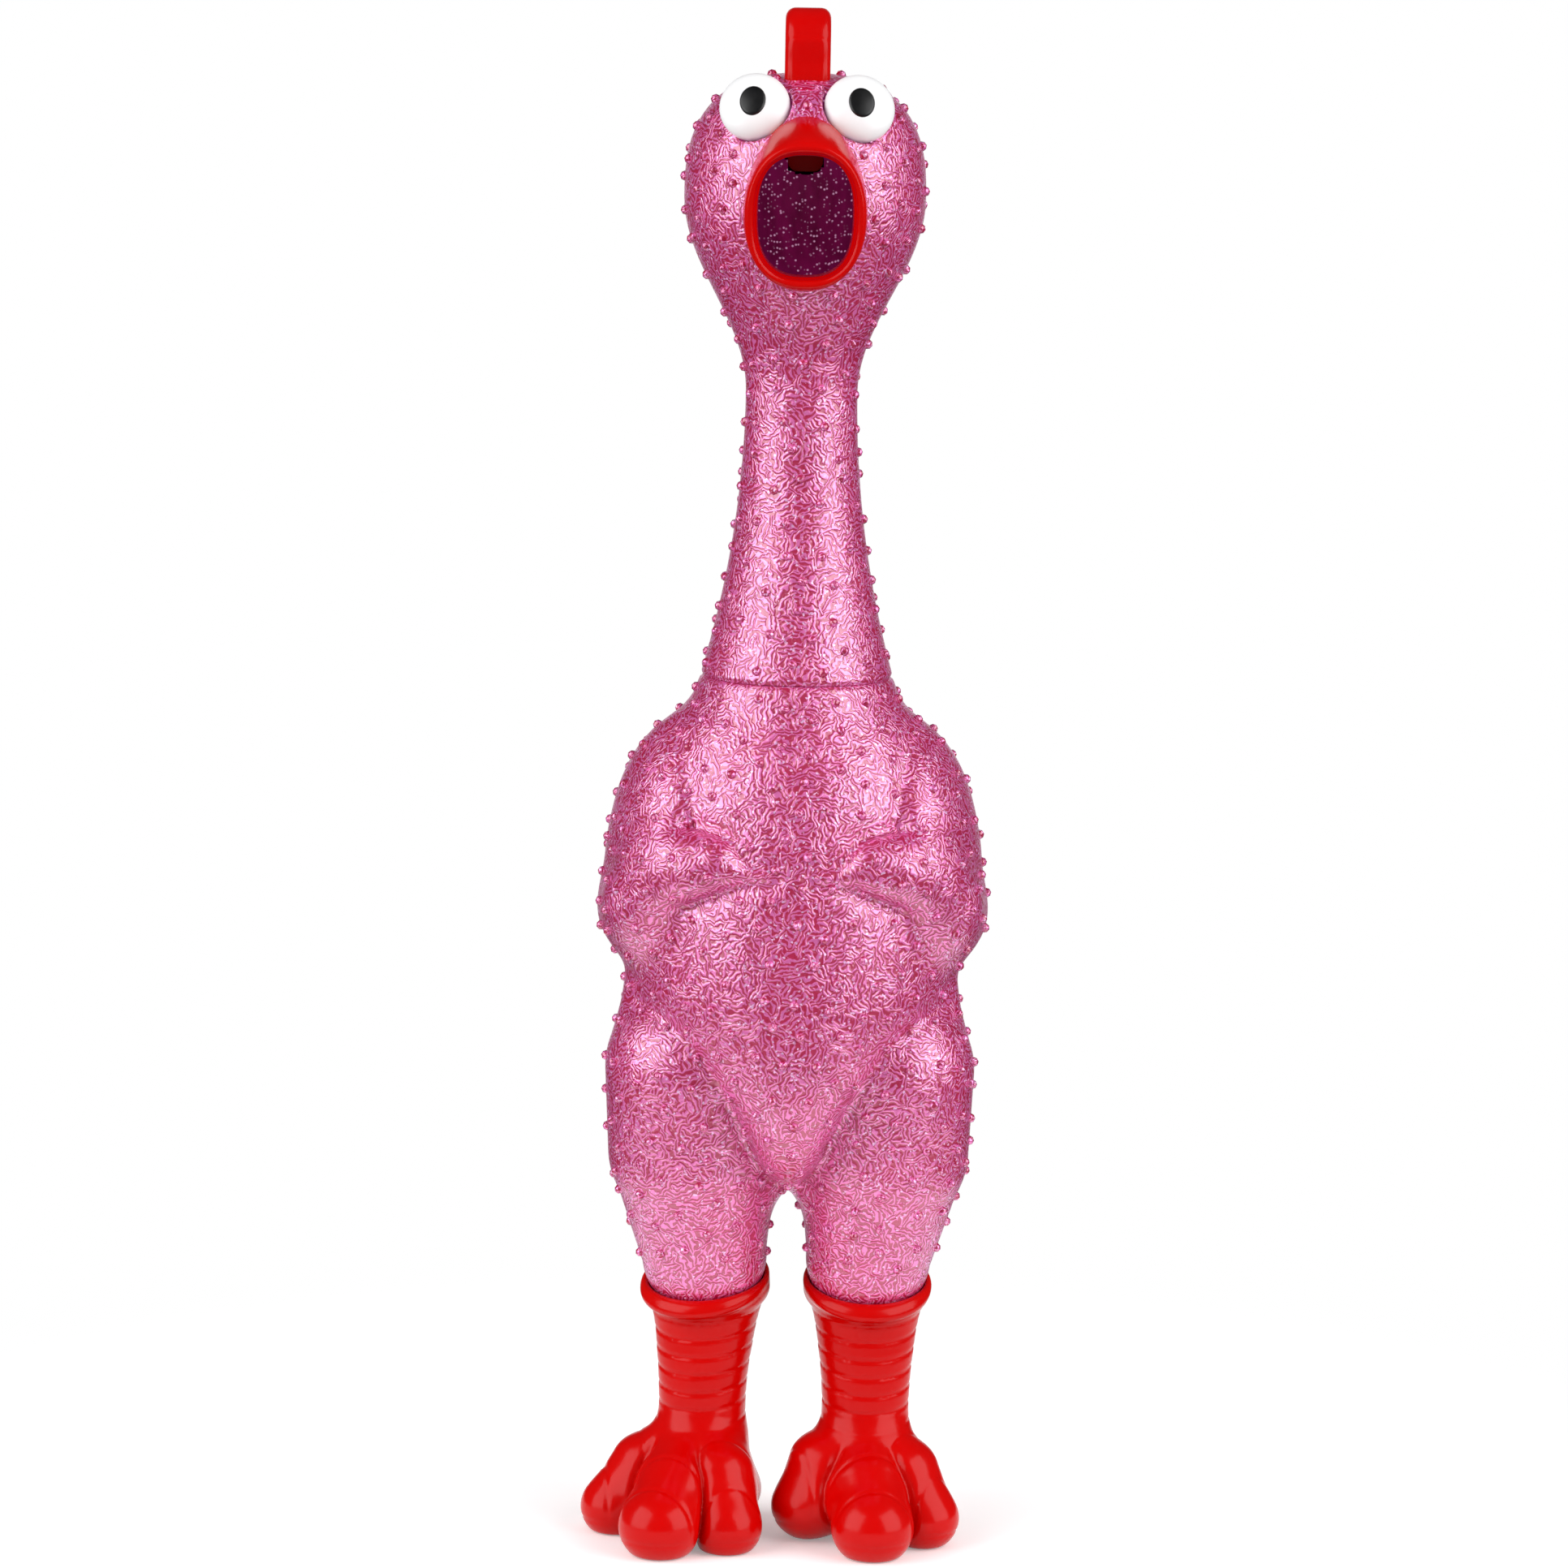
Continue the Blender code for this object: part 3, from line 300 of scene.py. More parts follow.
def toe_gap(x, y, z, spread, reach, ball, lift, share, height):
    """How far a point is outside a toe: a limb from the instep over a knuckle to a flattened ball on
    the floor, with wrinkles across its back and one across its front."""
    way = np.array((math.sin(math.radians(spread)), -math.cos(math.radians(spread)), 0.0))
    tip = way * reach + (0.0, 0.0, TOE_FLATNESS * ball - SOLE_FLAT + lift)
    knuckle = way * share * reach + (0.0, 0.0, height)
    toe = np.minimum(limb_gap(x, y, z, INSTEP, knuckle, SHIN_GIRTH, KNUCKLE_FULLNESS * ball),
                     limb_gap(x, y, z, knuckle, tip, KNUCKLE_FULLNESS * ball, TIP_FULLNESS * ball))
    toe = melt(toe, ball_gap(x, y, z, tip, (ball, ball, TOE_FLATNESS * ball)), TIP_FLOW)
    along = x * way[0] + y * way[1] - reach
    on_back = soft_step(z - tip[2], WRINKLE_FADE)
    for wrinkle in WRINKLES:
        toe = toe + WRINKLE_DEPTH * on_back * bell(along - wrinkle, WRINKLE_WIDTH)
    in_front = soft_step(along - FRONT_WRINKLE_START * ball, FRONT_WRINKLE_FADE)
    across = bell(z - FRONT_WRINKLE_RISE * tip[2], WRINKLE_WIDTH)
    return toe + FRONT_WRINKLE_SHARE * WRINKLE_DEPTH * in_front * across


def boot_gap(x, y, z, toes):
    """How far a point is outside a boot: shaft, toes, heel and bridge melted together, with bands cut
    round the shaft, grooves between the toes, the leg's cup taken out and the sole cut flat."""
    below = ANKLE_HEIGHT - z
    cuff = below + y * CUFF_TILT
    stops = np.linspace(BOOT_ROWS[0, 0], BOOT_ROWS[-1, 0], 240)
    girth = np.interp(below + y * SHAFT_TILT, stops, read_rows(BOOT_ROWS, stops)[:, 0])
    lean = SHAFT_LEAN * bell(z - SHAFT_LEAN_Z, SHAFT_LEAN_REACH)
    shaft = np.hypot(x, y - lean) - girth
    for band in range(BANDS):
        off = below + y * BAND_TILT - BAND_FIRST - band * BAND_STEP
        shaft = shaft + BAND_DEPTH * bell(off, BAND_WIDTH)
    shaft = -melt(-shaft, cuff - CUFF_TOP, CUFF_EDGE)
    roll = np.hypot(np.hypot(x, y) - ROLL_GIRTH, cuff - ROLL_DROP) - ROLL_RADIUS
    shaft = np.maximum(melt(shaft, roll, ROLL_FLOW), SHAFT_FOOT - z)
    heel = ball_gap(x, y, z, HEEL, (HEEL_RADIUS,) * 3)
    bridge = ball_gap(x, y, z, BRIDGE, BRIDGE_HALVES)
    shin = limb_gap(x, y, z, SHIN, INSTEP, SHIN_GIRTH, INSTEP_GIRTH)
    foot = melt(melt(heel, bridge, HEEL_FLOW), shin, SHIN_FLOW)
    middle, one_side, other_side = (toe_gap(x, y, z, *toe) for toe in toes)
    sides = melt(one_side, other_side, SIDE_TO_SIDE_FLOW)
    boot = melt(melt(foot, middle, MIDDLE_TOE_FLOW), melt(foot, sides, SIDE_TOE_FLOW), TOE_TO_TOE_FLOW)
    below_instep = soft_step(INSTEP_TOP - z, INSTEP_FADE)
    boot = boot + below_instep * crease(middle, sides, TOE_GROOVE_DEPTH, TOE_GROOVE_WIDTH)
    boot = melt(boot, shaft, SHAFT_FLOW)
    cup = ball_gap(x, y, z, (0.0, 0.0, ANKLE_HEIGHT), (ANKLE_BALL + CUP_PLAY,) * 3)
    boot = -melt(-boot, cup, CUP_EDGE)
    return -melt(-boot, z, SOLE_EDGE)


for name, turn, toes in BOOTS:
    points, faces = skin_of(lambda x, y, z: boot_gap(x, y, z, toes), BOOT_LOW, BOOT_HIGH, BOOT_CELL)
    c, s = math.cos(math.radians(turn)), math.sin(math.radians(turn))
    points = points @ np.array(((c, s, 0.0), (-s, c, 0.0), (0.0, 0.0, 1.0)))
    points[:, :2] += joint_place[name + "_ankle"][:2]
    boot = put_piece(name + "_boot_skin", points, [faces], [red_vinyl])
    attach(boot, name + "_foot")
    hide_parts(name + "_boot")

# Torso
# The trunk with folded wings, thighs and a tail stub: one hollow moulding of clear pink vinyl over
# glitter, with a worm-track grain and small round beads all over. The legs end in balls in the boots.
SEAM_Z, SEAM_EDGE = 0.2285, 0.0016
TRUNK_ROWS = np.array([
    # drop below the neck seam, half width, front, back
    (0.0000, 0.0250, 0.0248, 0.0248), (0.0020, 0.0256, 0.0254, 0.0253), (0.0050, 0.0268, 0.0261, 0.0259),
    (0.0084, 0.0293, 0.0274, 0.0268), (0.0120, 0.0327, 0.0290, 0.0279), (0.0148, 0.0351, 0.0303, 0.0288),
    (0.0212, 0.0391, 0.0332, 0.0306), (0.0276, 0.0412, 0.0356, 0.0320), (0.0385, 0.0420, 0.0382, 0.0335),
    (0.0567, 0.0425, 0.0400, 0.0345), (0.0720, 0.0427, 0.0410, 0.0350), (0.0810, 0.0418, 0.0411, 0.0355),
    (0.0890, 0.0385, 0.0407, 0.0356), (0.0970, 0.0330, 0.0398, 0.0352), (0.1105, 0.0204, 0.0368, 0.0335),
    (0.1190, 0.0146, 0.0330, 0.0300), (0.1255, 0.0104, 0.0285, 0.0240), (0.1290, 0.0072, 0.0243, 0.0170),
    (0.1310, 0.0042, 0.0205, 0.0100), (0.1320, 0.0012, 0.0160, 0.0020),
])
TRUNK_STOPS = np.linspace(0.0, TRUNK_ROWS[-1, 0], 300)
TRUNK_SIZES = read_rows(TRUNK_ROWS, TRUNK_STOPS)
BODY_AXIS = np.array((*joint_place["neck_bend"][:2], 0.0))
LEG_SPREAD = joint_place["left_ankle"][0] - BODY_AXIS[0]
LEG = (
    # the middle of the leg at the hip, at its fullest and at the ankle, each with its girth
    ((0.0262, -0.0080, 0.1265), 0.0219), ((0.0248, -0.0040, 0.1040), 0.0224),
    ((LEG_SPREAD, 0.0, ANKLE_HEIGHT), ANKLE_BALL),
)
ARM, ARM_HALVES, ARM_LEAN = (0.0335, -0.0085, 0.1865), (0.0140, 0.0225, 0.0300), -11.0
ELBOW, ELBOW_HALVES, ELBOW_FLOW = (0.0372, -0.0085, 0.1670), (0.0118, 0.0165, 0.0112), 0.0080
ARM_SWEEP, ELBOW_TOP = -16.0, 0.1775
WRIST, WRIST_GIRTH = (0.0395, -0.0195, 0.1715), 0.0070
PALM, PALM_HALVES, PALM_LEAN, PALM_SWEEP = (0.0275, -0.0287, 0.1822), (0.0165, 0.0080, 0.0098), 12.0, 29.0
PALM_GIRTH, PALM_EDGE, PALM_FADE = 0.0075, 0.0305, 0.0018
FINGERTIP, FINGERTIP_GIRTH, HAND_FLOW = (0.0065, -0.0380, 0.1812), 0.0020, 0.0040
TAIL_ROOT, TAIL_ROOT_GIRTH = (0.0, 0.0215, 0.1300), 0.0120
TAIL_TIP, TAIL_TIP_GIRTH, TAIL_FLOW = (0.0, 0.0365, 0.1375), 0.0062, 0.0040
FRONT_Y, FRONT_FADE = -0.011, 0.0025
LIMBS_ON_TRUNK = {
    # how far the limb flows into the body, how much less where it is creased, the crease's depth and width
    "leg": (0.0150, 0.0105, 0.0010, 0.0024),
    "arm": (0.0075, 0.0040, 0.0012, 0.0022),
    "hand": (0.0080, 0.0052, 0.0013, 0.0022),
}
TORSO_LOW, TORSO_HIGH, TORSO_CELL = (-0.0535, -0.0480, 0.0560), (0.0535, 0.0460, SEAM_Z), 0.00115
BEAD_GIRTH, BEAD_PROUD, BEAD_SPACING = 0.00130, 0.00125, 0.0072
SEAM_BARE, CUFF_SWEEP = 0.0030, 0.0030


def turned(lean, sweep):
    """Rows that turn a point into a form's own axes: a turn about Y by lean, then about Z by sweep."""
    cl, sl = math.cos(math.radians(lean)), math.sin(math.radians(lean))
    cs, ss = math.cos(math.radians(sweep)), math.sin(math.radians(sweep))
    about_y = np.array(((cl, 0.0, sl), (0.0, 1.0, 0.0), (-sl, 0.0, cl)))
    about_z = np.array(((cs, -ss, 0.0), (ss, cs, 0.0), (0.0, 0.0, 1.0)))
    return (about_z @ about_y).T


def torso_gap(x, y, z):
    """How far a point is outside the torso: egg-shaped sections down the trunk, with an arm, a hand
    and a leg melted on at each side and creased in front where they meet it, and a tail stub behind."""
    drop = SEAM_Z - z
    width, front, back = (np.interp(drop, TRUNK_STOPS, size) for size in TRUNK_SIZES.T)
    depth = np.where(y < 0, front, back)
    shares = np.sqrt((x / width) ** 2 + (y / depth) ** 2)
    slopes = np.sqrt((x / width**2) ** 2 + (y / depth**2) ** 2)
    body = np.maximum(shares * (shares - 1) / np.maximum(slopes, 1.0), drop - TRUNK_ROWS[-1, 0])
    side = np.abs(x)
    arm = melt(ball_gap(side, y, z, ARM, ARM_HALVES, turned(ARM_LEAN, ARM_SWEEP)),
               ball_gap(side, y, z, ELBOW, ELBOW_HALVES, turned(0.0, ARM_SWEEP)), ELBOW_FLOW)
    palm = ball_gap(side, y, z, PALM, PALM_HALVES, turned(PALM_LEAN, PALM_SWEEP))
    finger = limb_gap(side, y, z, PALM, FINGERTIP, PALM_GIRTH, FINGERTIP_GIRTH)
    forearm = limb_gap(side, y, z, WRIST, PALM, WRIST_GIRTH, PALM_GIRTH)
    hand = melt(melt(palm, finger, HAND_FLOW), forearm, HAND_FLOW)
    leg = np.inf
    for (root, root_girth), (tip, tip_girth) in zip(LEG, LEG[1:]):
        leg = np.minimum(leg, limb_gap(side, y, z, root, tip, root_girth, tip_girth))
    in_front = soft_step(FRONT_Y - y, FRONT_FADE)
    above_elbow = in_front * soft_step(z - ELBOW_TOP, FRONT_FADE)
    at_palm = soft_step(PALM_EDGE - side, PALM_FADE)
    for name, limb, creased in (("leg", leg, in_front), ("arm", arm, above_elbow), ("hand", hand, at_palm)):
        flow, less, deep, wide = LIMBS_ON_TRUNK[name]
        body = melt(body, limb, flow - less * creased) + creased * crease(body, limb, deep, wide)
    body = melt(body, limb_gap(x, y, z, TAIL_ROOT, TAIL_TIP, TAIL_ROOT_GIRTH, TAIL_TIP_GIRTH), TAIL_FLOW)
    return -melt(-body, drop, SEAM_EDGE)


def scatter(points, spacing, seed):
    """Indices of points no nearer to each other than spacing: in a shuffled order, the first point
    still free is kept and takes away all that lie within the spacing of it."""
    order = np.random.default_rng(seed).permutation(len(points))
    kept = []
    while len(order):
        kept.append(order[0])
        order = order[((points[order] - points[order[0]]) ** 2).sum(1) > spacing**2]
    return np.array(kept)


def spun(radii, heights, around, half_x=1.0, half_y=1.0):
    """Rings of points about Z: each radius and height carried round an oval with these half sizes."""
    lon = np.arange(around) * math.tau / around
    return np.stack([np.outer(radii, half_x * np.cos(lon)), np.outer(radii, half_y * np.sin(lon)),
                     np.outer(heights, np.ones(around))], -1)


def ring_faces(rings, around):
    """Four-cornered faces from each ring of points to the next, and from the last to the first."""
    at = np.arange(rings * around).reshape(-1, around)
    up = np.roll(at, -1, 0)
    return np.stack([at, np.roll(at, -1, 1), np.roll(up, -1, 1), up], -1)


def spun_cap(profile, half_x, half_y, around):
    """A closed cap: (share of the half sizes, height) points carried round an oval, with a pole at
    the first and last point."""
    inner = profile[1:-1]
    rings = spun(inner[:, 0], inner[:, 1], around, half_x, half_y).reshape(-1, 3)
    points = np.concatenate([rings, ((0.0, 0.0, profile[0, 1]), (0.0, 0.0, profile[-1, 1]))])
    quads = ring_faces(len(inner), around)[:-1].reshape(-1, 4)
    low, high = np.arange(around), np.arange(around) + (len(inner) - 1) * around
    fans = np.concatenate([np.stack([np.roll(low, -1), low, np.full(around, len(rings))], 1),
                           np.stack([high, np.roll(high, -1), np.full(around, len(rings) + 1)], 1)])
    return points, quads, fans


def add_beads(points, quads, spots, ups):
    """A skin with its moulded beads: low balls, eight round and three rows high, each set at a spot
    with its pole along the skin's own outward way and standing proud of it."""
    lat = np.radians((-90.0, -35.0, 5.0, 45.0, 90.0))
    ball, sides, caps = spun_cap(np.stack([np.cos(lat), np.sin(lat)], 1), 1.0, 1.0, 8)
    helper = np.where(np.abs(ups[:, 2:]) < 0.9, ((0.0, 0.0, 1.0),), ((1.0, 0.0, 0.0),))
    across = np.cross(helper, ups)
    across /= np.linalg.norm(across, axis=1)[:, None]
    turn = np.stack([across, np.cross(ups, across), ups], 1)
    centres = spots + ups * (BEAD_PROUD - BEAD_GIRTH)
    beads = (np.einsum("pk,nkc->npc", ball * BEAD_GIRTH, turn) + centres[:, None]).reshape(-1, 3)
    first = len(points) + len(ball) * np.arange(len(spots))[:, None, None]
    return (np.concatenate([points, beads]),
            [np.concatenate([quads, (sides + first).reshape(-1, 4)]), (caps + first).reshape(-1, 3)])


def vector(look, operation, *inputs):
    """One step of vector arithmetic in a material."""
    return add_node(look, "VectorMath", dict(enumerate(inputs)), operation=operation).outputs["Vector"]


def figure(look, operation, *inputs):
    """One step of arithmetic in a material."""
    return add_node(look, "Math", dict(enumerate(inputs)), operation=operation).outputs["Value"]


# Clear pink vinyl over lavender glitter, moulded with a fine worm-track grain: tracks 1.2 mm apart in
# patches that run every way. Their crests are painted pale and the ground between them deep pink, a
# painted highlight and painted shade over the grain's bump, and loose flakes are painted bright as glints.
TRACK_PITCH, PATCH_SIZE, FLAKE_SIZE, TRACK_HEIGHT = 0.00118, 0.0030, 0.0005, 0.00005
WANDER_SIZE, WANDER_REACH, CLOUD_SIZE, MIDDLE_GREY = 0.0026, 0.0034, 0.012, (0.5, 0.5, 0.5)
glitter_vinyl, place = new_look("glitter_pink_vinyl")
wander = add_node(glitter_vinyl, "TexNoise", {"Vector": place, "Scale": 1 / WANDER_SIZE, "Detail": 1.0})
shift = vector(glitter_vinyl, "SUBTRACT", wander.outputs["Color"], MIDDLE_GREY)
shift = vector(glitter_vinyl, "MULTIPLY", shift, (WANDER_REACH,) * 3)
bent = vector(glitter_vinyl, "ADD", place, shift)
patch = add_node(glitter_vinyl, "TexVoronoi", {"Vector": bent, "Scale": 1 / PATCH_SIZE})
facing = add_node(glitter_vinyl, "NewGeometry").outputs["Normal"]
way = vector(glitter_vinyl, "SUBTRACT", patch.outputs["Color"], MIDDLE_GREY)
way = vector(glitter_vinyl, "NORMALIZE", vector(glitter_vinyl, "CROSS_PRODUCT", facing, way))
from_middle = vector(glitter_vinyl, "SUBTRACT", bent, patch.outputs["Position"])
run = add_node(glitter_vinyl, "VectorMath", {0: from_middle, 1: way}, operation="DOT_PRODUCT")
turns = figure(glitter_vinyl, "MULTIPLY", run.outputs["Value"], math.tau / TRACK_PITCH)
wave = figure(glitter_vinyl, "SINE", turns)
track = ranged(glitter_vinyl, wave, start=0.0, end=0.42, interpolation_type="SMOOTHSTEP")
flake = add_node(glitter_vinyl, "TexVoronoi", {"Vector": place, "Scale": 1 / FLAKE_SIZE})
glint = add_node(glitter_vinyl, "SeparateColor", {"Color": flake.outputs["Color"]})
# Loose flakes painted near white at random: painted glints, bright whatever the light.
painted_glint = ranged(glitter_vinyl, glint.outputs["Red"], start=0.930, end=0.970)
# Painted highlight and shade: pale pink on the tracks' crests, deep pink on the ground between them.
ground = mixed(glitter_vinyl, noise(glitter_vinyl, place, CLOUD_SIZE), "#A8023C", "#C80A4C")
lined = mixed(glitter_vinyl, track, ground, "#FF80C6")
grain = bumped(glitter_vinyl, wave, strength=1.0, distance=TRACK_HEIGHT)
coat_with(glitter_vinyl, {
    "Base Color": mixed(glitter_vinyl, painted_glint, lined, "#FFD0F2"),
    "Metallic": ranged(glitter_vinyl, track, low=0.12, high=0.42),
    "Roughness": ranged(glitter_vinyl, glint.outputs["Green"], low=0.26, high=0.42), "IOR": 1.52,
    "Normal": grain, "Specular Tint": linear("#E4BCFF"), "Specular IOR Level": 0.80,
    "Coat Weight": 1.0, "Coat IOR": 2.10, "Coat Roughness": 0.29, "Coat Tint": linear("#FFF0FF"),
    "Coat Normal": grain})

points, faces = skin_of(torso_gap, TORSO_LOW, TORSO_HIGH, TORSO_CELL)
ups = slope_of(torso_gap, points)
ups /= np.linalg.norm(ups, axis=1)[:, None]
# No bead at the neck seam or where a boot's cuff sweeps up the leg.
cuff_line = ANKLE_HEIGHT - CUFF_TOP + points[:, 1] * CUFF_TILT
swept = np.maximum(cuff_line + CUFF_SWEEP, ANKLE_HEIGHT)
bare = (points[:, 2] > SEAM_Z - SEAM_BARE) | (points[:, 2] < swept)
spots = np.flatnonzero(~bare)
spots = spots[scatter(points[spots], BEAD_SPACING, 7)]
points, groups = add_beads(points, faces, points[spots], ups[spots])
torso = put_piece("torso_skin", points + BODY_AXIS, groups, [glitter_vinyl])
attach(torso, "torso")
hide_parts("torso_shell")

# Squeaker
# A squawker of clear styrene pushed up the neck: a flanged barrel, a vented cap, a tone board and a
# wedge that clamps the reed. The solids have the right shapes, so they stay and get their plastics.
# Moulded styrene is faintly cloudy, with flow marks from the gate.
FLOW_SIZE, SLIT_SIZE = 0.004, 0.006
clear_styrene, place = new_look("cloudy_clear_styrene")
flow = noise(clear_styrene, place, FLOW_SIZE, detail=3.0, Distortion=1.0)
coat_with(clear_styrene, {
    "Base Color": mixed(clear_styrene, flow, "#C4CACC", "#DCE0E0"),
    "Roughness": ranged(clear_styrene, flow, low=0.18, high=0.34), "IOR": 1.59})
# Polyester film for the reed: amber, with fine slitting lines along it.
reed_film, place = new_look("amber_polyester_film")
slit = add_node(reed_film, "TexWave", {"Vector": place, "Scale": 1 / SLIT_SIZE, "Distortion": 1.5})
coat_with(reed_film, {
    "Base Color": mixed(reed_film, slit.outputs["Fac"], "#D8CC9C", "#E6DCB4"),
    "Roughness": 0.25, "IOR": 1.64})
for node_name in ("squeaker_barrel", "squeaker_cap", "tone_board", "reed_wedge", "reed"):
    for slot in frame["nodes"][node_name].material_slots:
        slot.material = reed_film if node_name == "reed" else clear_styrene

# Neck
# A long round tube of the same glitter vinyl, wide where it is bonded to the torso at the seam and
# narrow under the head. It is the part that bends when the chicken nods.
NECK_GIRTH, SEAM_GIRTH, NECK_LENGTH = 0.0144, 0.0250, 0.0735
NECK_TOP, NECK_WALL, NECK_LAP, NECK_ROUND = 0.2830, 0.0022, 0.0030, 112
SEAM_DIP, SEAM_DIP_WIDTH, SEAM_RINGS = 0.0007, 0.0006, (0.0, 0.0002, 0.0005, 0.0010, 0.0016)
NECK_RINGS, NECK_RINGS_START = 51, 0.0024
LAP_PROUD, LAP_RISE, LAP_RING = 0.00006, 0.008, 0.00006
SPIGOT_START, SPIGOT_END, SPIGOT_STEP = 0.0004, 0.0040, 0.0005
NECK_BARE_LOW, NECK_BARE_HIGH = 0.0028, 0.0018


def neck_girth(z):
    """The neck's girth: from the seam it falls by the square of what is left of the neck's length."""
    left = np.clip(1 - (z - SEAM_Z) / NECK_LENGTH, 0.0, 1.0)
    return NECK_GIRTH + (SEAM_GIRTH - NECK_GIRTH) * left**2


levels = np.linspace(SEAM_Z + NECK_RINGS_START, NECK_TOP - LAP_RING, NECK_RINGS)
levels = np.concatenate([SEAM_Z + np.array(SEAM_RINGS), levels, (NECK_TOP,)])
outer = neck_girth(levels) - SEAM_DIP * bell(levels - SEAM_Z, SEAM_DIP_WIDTH)
outer += LAP_PROUD * np.clip((levels - NECK_TOP) / LAP_RISE + 1, 0.0, 1.0)
spigot = np.array((NECK_TOP + SPIGOT_START, NECK_TOP + SPIGOT_END))
profile_z = np.concatenate([levels, spigot, spigot[1:], levels[::-4], levels[:1]])
profile_r = np.concatenate([outer, neck_girth(spigot) - SPIGOT_STEP, neck_girth(spigot[1:]) - NECK_WALL,
                            neck_girth(levels[::-4]) - NECK_WALL, outer[:1] - NECK_WALL])
points = spun(profile_r, profile_z, NECK_ROUND).reshape(-1, 3)
faces = ring_faces(len(profile_z), NECK_ROUND).reshape(-1, 4)
ups = spun(np.ones(len(levels)), -np.gradient(outer, levels), NECK_ROUND)
ups = (ups / np.linalg.norm(ups, axis=-1)[..., None]).reshape(-1, 3)
height = points[:len(ups), 2]
free = np.flatnonzero((height > SEAM_Z + NECK_BARE_LOW) & (height < NECK_TOP - NECK_BARE_HIGH))
spots = free[scatter(points[free], BEAD_SPACING, 11)]
points, groups = add_beads(points, faces, points[spots], ups[spots])
neck = put_piece("neck_skin", points + BODY_AXIS, groups, [glitter_vinyl])
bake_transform(neck)
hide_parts("neck_shell")

# Head
# A hollow egg of the glitter vinyl drawn down into the neck, open at the mouth. Inside it the bare
# moulding is painted a darker magenta with bright flakes and a faint glow, as painted shade, painted
# glints and a painted glow, and a shallow recess let into its back wall is painted near black as painted
# shade.
HEAD_Z, HEAD_HALF_WIDTH, HEAD_HALF_DEPTH, HEAD_RISE = 0.3520, 0.0310, 0.0300, 0.0315
HEAD_TAPER, CROWN_SQUARENESS, HEAD_WALL = 0.0500, 2.6, 0.0026
MOUTH_Z, MOUTH_HALF_WIDTH, MOUTH_HALF_HEIGHT, MOUTH_SQUARENESS = 0.3483, 0.0121, 0.0152, 2.6
MOUTH_PLAY, MOUTH_BACK = 0.0016, -0.0050
RECESS_Y, RECESS_Z, RECESS_HALVES, RECESS_ROUND = 0.0290, 0.3655, (0.0018, 0.0052, 0.0053), 0.0028
RECESS_WALL, RECESS_RIM, INNER_DEPTH = 0.0009, 0.0004, 0.0006
EYE_RADIUS, EYE_DOME, EYE_ROOT, EYE_PLAY = 0.0090, 0.0042, 0.0095, 0.0005
EYE_SPREAD, EYE_FRONT, EYE_HEIGHT, GAZE_OUT, GAZE_UP = 0.0132, 0.0202, 0.3750, 0.15, 0.46
SOCKET_DEPTH, SOCKET_EDGE = 0.0012, 0.0008
BEAD_CLEAR, MOUTH_BARE, COMB_BARE, COMB_BARE_FRONT = 0.0018, 0.0055, 0.0078, -0.0140
BROW_BARE, BROW_LOW, BROW_HIGH, ON_SKIN = 0.0120, 0.3600, 0.3752, 0.0002
HEAD_LOW, HEAD_HIGH = (-0.0345, -0.0345, NECK_TOP - NECK_LAP - 0.0025), (0.0345, 0.0420, 0.3870)
HEAD_CELL = 0.00095


def eye_frame(side):
    """The middle of an eye's rim and its axes as rows: across, up and the way that it looks."""
    look = np.array((side * GAZE_OUT, -1.0, GAZE_UP))
    look /= np.linalg.norm(look)
    across = np.cross((0.0, 0.0, 1.0), look)
    across /= np.linalg.norm(across)
    middle = np.array((side * EYE_SPREAD, -EYE_FRONT, EYE_HEIGHT))
    return middle, np.stack([across, np.cross(look, across), look])


def socket_gap(x, y, z, side):
    """How far a point is outside an eye's socket: a round well along the way the eye looks, open in
    front and floored a little behind the eye's rim."""
    middle, axes = eye_frame(side)
    away = (x - middle[0], y - middle[1], z - middle[2])
    across, upward, out = (sum(row[i] * away[i] for i in range(3)) for row in axes)
    return np.maximum(np.hypot(across, upward) - EYE_RADIUS - EYE_PLAY, -SOCKET_DEPTH - out)


def head_outside(x, y, z):
    """How far a point is outside the head: ovals that widen by a cosine from the neck to the head's
    middle, and above it a rounded crown of one power in width, depth and height."""
    share = (1 + np.cos(math.pi * np.clip((HEAD_Z - z) / HEAD_TAPER, 0.0, 1.0))) / 2
    lower = neck_girth(np.minimum(z, HEAD_Z - HEAD_TAPER))
    width = lower + (HEAD_HALF_WIDTH - lower) * share
    depth = lower + (HEAD_HALF_DEPTH - lower) * share
    oval = np.sqrt((x / width) ** 2 + (y / depth) ** 2)
    rise = np.maximum(z - HEAD_Z, 0.0) / HEAD_RISE
    crown = (oval**CROWN_SQUARENESS + rise**CROWN_SQUARENESS) ** (1 / CROWN_SQUARENESS)
    return (crown - 1) * np.minimum(width, depth)


def mouth_gap(x, z, grow):
    """How far a point is outside the mouth's opening, an oblong rounded by one power, grown all round."""
    wide = np.abs(x) / (MOUTH_HALF_WIDTH + grow)
    high = np.abs(z - MOUTH_Z) / (MOUTH_HALF_HEIGHT + grow)
    oblong = (wide**MOUTH_SQUARENESS + high**MOUTH_SQUARENESS) ** (1 / MOUTH_SQUARENESS)
    return (oblong - 1) * (MOUTH_HALF_WIDTH + grow)


def recess_gap(x, y, z):
    """How far a point is outside the recess behind the mouth: a box with rounded edges."""
    past = [np.abs(a) - half for a, half in zip((x, y - RECESS_Y, z - RECESS_Z), RECESS_HALVES)]
    out = np.sqrt(sum(np.maximum(p, 0.0) ** 2 for p in past))
    return out + np.minimum(np.maximum(np.maximum(past[0], past[1]), past[2]), 0.0) - RECESS_ROUND


